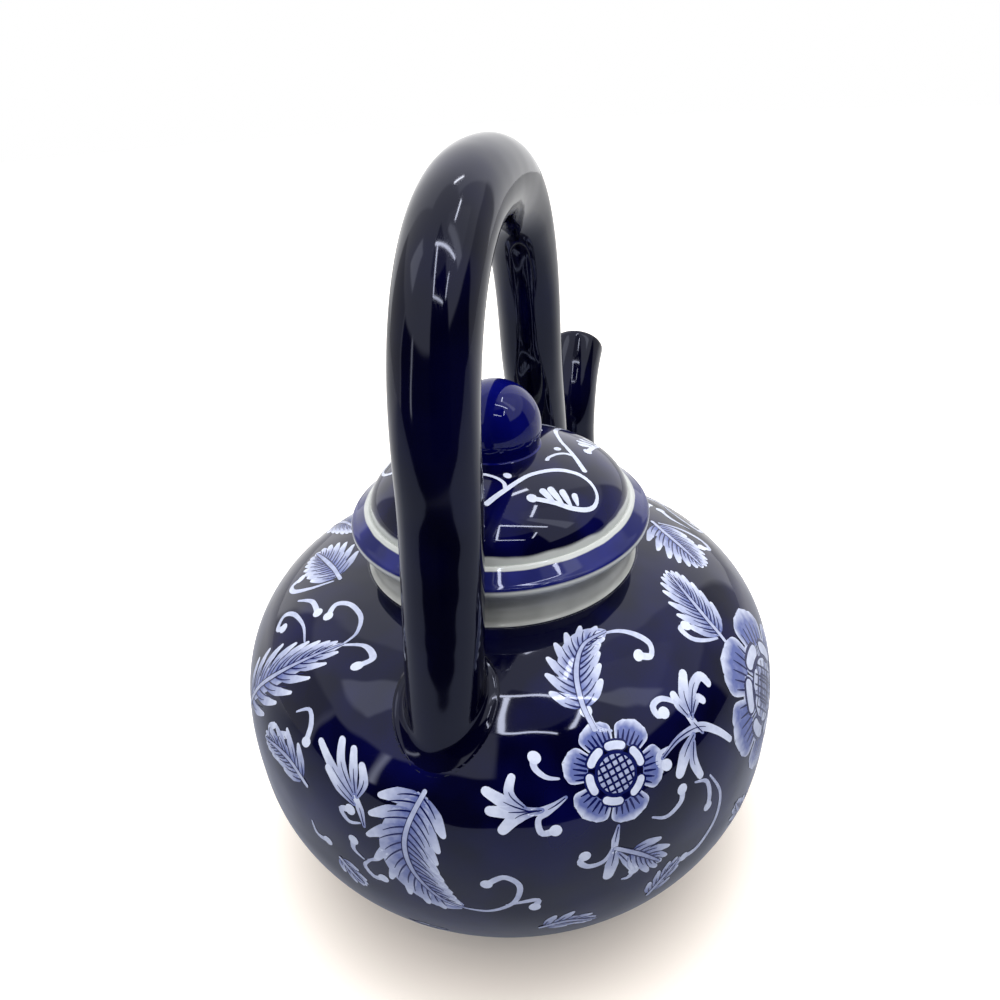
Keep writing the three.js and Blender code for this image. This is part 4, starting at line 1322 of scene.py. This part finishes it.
# The drawing on the body, by azimuth in degrees and way up the wall from the foot in mm.
# Within a group u runs to the right and v up the wall.
floral = {
    "lifts": (0.05, 0.09, 0.13), "latticeLift": 0.17, "copies": 2, "wallStep": 0.5,
    "middle": 60.0,  # the print faces away from the axis at this height
    # azimuth, way up, size, turn of the lattice, then the petals' angles
    "flowers": [(213.7, 97.6, 0.92, 12, (-10, 51, 105, 156, 220, 282)),
                (258, 87, 1.62, 40, (0, 60, 120, 180, 240, 300)),
                (258, 87, 1.05, 40, (30, 90, 150, 210, 270, 330))],
    # azimuth, way up, once, then leaves: spine, reach, fingers a side, lean, finger width, share
    # of the spine that is bare stem, and the blade's half width as a share of the reach
    "leaves": [
        (211, 114, False, [
            ([(1, -6), (0, 1), (1.5, 9), (6, 15), (13, 16)], 8.9, (7, 6), 58, 3.0, 0.2, 0.52)]),
        (250.9, 111, False, [
            ([(3, -3.5), (4.5, 4), (7.5, 11), (12, 18)], 10.6, (7, 6), 50, 3.1, 0.12, 0.46)]),
        (212.2, 84.6, False, [
            ([(-1, -6), (3, -9), (7, -12.5), (12, -18)], 8.6, (3, 3), 46, 3.0, 0.3, 0.25)]),
        (178, 98.2, True, [
            ([(1.5, -1), (-2.4, -10.5), (-3.5, -18), (-1.5, -26), (4, -33.5), (10, -36.3)],
             12.4, (9, 8), 58, 3.6, 0.04, 0.56)]),
        (123.7, 83.8, False, [
            ([(2, 0), (7, 10), (13, 20), (17.5, 29), (21, 38)], 14.2, (8, 6), 46, 2.9, 0.05, 0.24)]),
        (121.2, 132.0, False, [
            ([(-2, -2), (-9, -4), (-17, -8), (-25, -13)], 11.0, (7, 6), 50, 3.0, 0.1, 0.45)]),
        (154.1, 85.3, False, [([(0, 0), (-7, 3), (-14, 3), (-22, 1)], 9.4, (5, 5), 46, 3.0, 0.1, 0.3)]),
        (181.8, 79.4, False, [
            ([(-30, -13), (-27, -16.5), (-23, -20)], 5.6, (3, 3), 45, 2.5, 0.1, 0.4),
            ([(-13, -34), (-8, -36), (-2, -35)], 5.2, (3, 3), 45, 2.4, 0.1, 0.4)]),
        (203, 50, False, [([(-7, 1), (0, 3), (8, 0)], 6.2, (4, 4), 48, 2.6, 0.1, 0.4)]),
        (222, 56, False, [([(-4, -4), (0, 2), (5, 7)], 6.2, (4, 3), 45, 2.6, 0.1, 0.3)]),
        (100, 62, False, [([(-6, -6), (-1, 1), (3, 9), (5, 17)], 8.4, (5, 5), 50, 2.9, 0.1, 0.4)]),
        (248, 52, False, [([(8, -6), (2, -1), (-4, 5), (-8, 12)], 8.4, (5, 5), 50, 2.9, 0.1, 0.4)]),
    ],
    # azimuth, way up, once, then the lobes of the sprigs: width and points
    "lobes": [
        (203.8, 94.9, False, [
            (2.2, [(0.5, 0.5), (-4, -1.8), (-9, -2.2)]),
            (3.3, [(-5, -1.8), (-11, -2.8), (-15.7, -7)]),
            (3.3, [(-6, -1.8), (-12, -1.8), (-18.4, -1.3)]),
            (3.3, [(-8, -2), (-13, 0.2), (-18.4, 3.8)]),
            (2.4, [(-9, -1.2), (-12.4, 2.5), (-11, 7)])]),
        (212.2, 84.6, False, [
            (2.0, [(0.6, 0.5), (-0.6, -4), (-1, -8)]),
            (3.6, [(-0.6, -6), (-1.5, -11), (-2.8, -16.7)]),
            (2.4, [(0, -8), (2.2, -12), (4.2, -16.5)])]),
        (232.7, 98.7, False, [
            (2.0, [(1.5, -2.5), (0, 1), (-1, 5)]),
            (3.2, [(0, 2), (1.2, 8), (5.2, 13)]),
            (2.6, [(-0.6, 3), (-1.6, 7), (-1.4, 10.5)]),
            (2.8, [(0, 3), (4.5, 8), (8.6, 9), (10, 5.4)]),
            (2.4, [(0.4, 3), (4, 5.6), (6, 3.4)]),
            (2.3, [(-12.5, -2.2), (-6, 0.2), (1, -0.4), (6, -4.4), (10.3, -9.9)]),
            (3.5, [(-1, -0.8), (-5.4, -3.6), (-9.6, -8.8)]),
            (2.8, [(-2, -2), (-4, -7), (-2.6, -12.6)])]),
        (167.2, 85.6, False, [
            (2.2, [(0.6, -3), (-0.6, 1.5), (-3, 6)]),
            (2.9, [(-2.6, 4), (-9, 8.5), (-15.6, 14)]),
            (2.8, [(-2.6, 5), (-7.4, 11), (-8.8, 17.4)]),
            (2.6, [(-2.2, 5), (-3.6, 10.5), (-5, 16.6)]),
            (2.6, [(-2, 4.4), (-0.4, 9), (-2, 13.6)]),
            (2.6, [(-2, 2.4), (-7, 5), (-12, 9)])]),
        (154.1, 85.3, True, [
            (2.4, [(-14, 2), (-14.5, 6), (-10.5, 9)]),
            (2.2, [(-19, 2), (-20, 5), (-17, 8)])]),
    ],
    # azimuth, way up, once, then scrolls
    "scrolls": [
        (211, 114, False, [
            [(11, 16), (16, 14.5), (20, 11.5), (22.8, 7.5), (21.5, 4.8), (18.3, 6.5)],
            [(5, -7), (2.5, -6), (1, -4.5), (0.3, -1)]]),
        (232.7, 98.7, False, [
            [(0, 2), (-2, 7.5), (-5, 10.3), (-8, 9.8), (-8.2, 7.4), (-6.4, 7.2)],
            [(-9, -0.4), (-12.4, -0.8), (-13.4, -3), (-11.6, -4)]]),
        (250.9, 111, False, [[(2, -1), (-2.2, 1.5), (-5, 4.5), (-4.8, 8), (-2.6, 7.6)]]),
        (203.8, 94.9, False, [
            [(0, 0), (-4, -2.6), (-6.6, -4), (-6.2, -7.6), (-3, -7.4)]]),
        (212.2, 84.6, False, [
            [(0, -3), (-3, -9), (-7, -10), (-9.4, -8), (-8.2, -6.2)],
            [(1, -18.5), (3, -18.8), (4.4, -16.8)]]),
        (213.7, 97.6, False, [[(-13, 2), (-16, 2.8), (-18, 5.2), (-17.4, 7.4)]]),
        (178, 98.2, True, [
            [(9, -36.3), (16, -37), (22, -33.4), (23.6, -27), (20, -23.6), (15.8, -26.2)],
            [(20, -34.5), (24, -33.4), (27.8, -33), (27, -35.8)]]),
        (167.2, 85.6, False, [[(-0.5, -2), (-4, -3), (-6.4, -0.5), (-3.6, 0.6)]]),
        (126.3, 116.2, False, [
            [(-9, 0), (-4, 4.5), (2, 5)],
            [(9, -1.8), (3, 0), (-4, -1.5), (-7.5, -5), (-5, -8), (-2.8, -6)],
            [(18.4, 4.8), (17.6, 9.4), (12.8, 13.4), (6.5, 13.6), (3.2, 10.4), (5.8, 7)],
            [(17.5, 4), (23, 8), (28.5, 6.4), (27.7, 2.8)],
            [(24.3, -15.3), (27.6, -12.4), (31, -15.2), (32.4, -19.7)]]),
        (121.2, 132.0, False, [[(-3, -4), (-5.4, -11), (-9.6, -17.2), (-13.6, -18.6), (-14.2, -15.4)]]),
        (181.8, 79.4, False, [
            [(-38.2, -5), (-37, -9.2), (-33, -9)],
            [(-20.9, -8.4), (-23.8, -6), (-23.4, -2.6)],
            [(-18.5, -7), (-21.2, -10.6), (-19, -14), (-16.2, -13.2)],
            [(-20, -8), (-17, -6), (-14.9, -3.2)]]),
        (225.7, 83.8, False, [
            [(-9.2, -0.4), (-5, -2.4), (-0.6, -0.4), (0.3, 2.8)],
            [(4.3, 2.5), (8.2, 0.5), (9.2, -4), (8.6, -8)],
            [(9.6, 1.5), (13.5, -7), (12.5, -16), (6.5, -22), (1.4, -22)]]),
        (100, 62, False, [[(2, 2), (8, 3), (11, 8), (8.4, 11), (6.4, 8.6)]]),
        (248, 52, False, [[(0, 0), (-7, -1.5), (-10, -6), (-7.4, -8.6)]]),
    ],
}


def printBody():
    sheets = [newSheet(lift) for lift in floral["lifts"]]
    for azimuth, up, once, leaves in floral["leaves"]:
        startGroup(sheets, azimuth, up, once)
        for leaf in leaves:
            addLeaf(sheets, *leaf)
    for azimuth, up, once, lobes in floral["lobes"]:
        startGroup(sheets, azimuth, up, once)
        for width, points in lobes:
            addLobe(sheets, points, width)
    for azimuth, up, once, scrolls in floral["scrolls"]:
        startGroup(sheets, azimuth, up, once)
        for points in scrolls:
            addScroll(sheets[0], points)
    lattice = newSheet(floral["latticeLift"])
    for azimuth, up, size, turn, petals in floral["flowers"]:
        startGroup(sheets + [lattice], azimuth, up)
        addFlower(sheets, size, petals)
        addLattice(lattice, size, turn)
    wallLine = bodyOutline(body["foot"], body["mouth"], floral["wallStep"])
    outline = pathObject("wall outline", wallLine)
    names = ("printedLeaves", "printedVeins", "printedMidribs", "printedLattice")
    materials = (paleGlaze, inkGlaze, paleGlaze, inkGlaze)
    for name, sheet, material in zip(names, sheets + [lattice], materials):
        laySheet(name, sheet, outline, floral["copies"], floral["middle"], material, "pot")
    bpy.data.objects.remove(outline)


printBody()
print("body printed")


# The drawing on the lid: one S-scroll that curls round a small fan of leaves, five times.
lidPrint = {
    "azimuth": 220, "copies": 5, "lift": 0.05, "middle": 100.0, "domeStep": 0.4,
    "line": [(-14.2, 15.8), (-10.7, 18.2), (-7.4, 20.2), (-3, 22.5), (0.7, 23.6), (5.1, 23),
             (9.4, 21), (13.3, 17.7), (15.3, 14.9), (16.1, 12.1), (15.5, 9.7), (13.7, 8.3),
             (11.7, 7.9), (9, 8.6), (5.5, 10.6), (2, 13.6), (-2.4, 16.4)],
    "arc": [(-12, 25.4), (-9.9, 25.8), (-7.6, 24.6), (-6.6, 22.6), (-7.2, 20.4)],
    "dot": (-4.6, 25),
    "fingers": [(7.9, 10.1, 78, 3.6), (6.0, 10.5, 92, 5.6), (4.2, 11.6, 99, 6.6), (2.4, 13.2, 106, 5.4)],
    "lineWidths": (1.2, 1.0, 1.4), "arcWidths": (0.8, 1.0, 1.0), "fingerWidths": (0.6, 1.7, 2.0),
    "bulb": 1.3, "dotRadius": 1.0,
}


def printLid():
    sheet = newSheet(lidPrint["lift"])
    startGroup([sheet], lidPrint["azimuth"], 0)
    addStroke(sheet, smoothLine(lidPrint["line"]), lidPrint["lineWidths"])
    addStroke(sheet, smoothLine(lidPrint["arc"]), lidPrint["arcWidths"])
    addDisc(sheet, lidPrint["line"][-1], lidPrint["bulb"])
    addDisc(sheet, lidPrint["dot"], lidPrint["dotRadius"])
    for u, v, angle, length in lidPrint["fingers"]:
        way = Vector((math.cos(math.radians(angle)), math.sin(math.radians(angle))))
        start = Vector((u, v))
        finger = [tuple(start + way * length * i / 6) for i in range(7)]
        addStroke(sheet, finger, lidPrint["fingerWidths"], (0.1, 0.0))
    outline = pathObject("dome outline", domeOutline(lidPrint["domeStep"]))
    copies, middle = lidPrint["copies"], lidPrint["middle"]
    laySheet("printedLidScrolls", sheet, outline, copies, middle, paleGlaze, "lid")
    bpy.data.objects.remove(outline)


printLid()
print("lid printed")
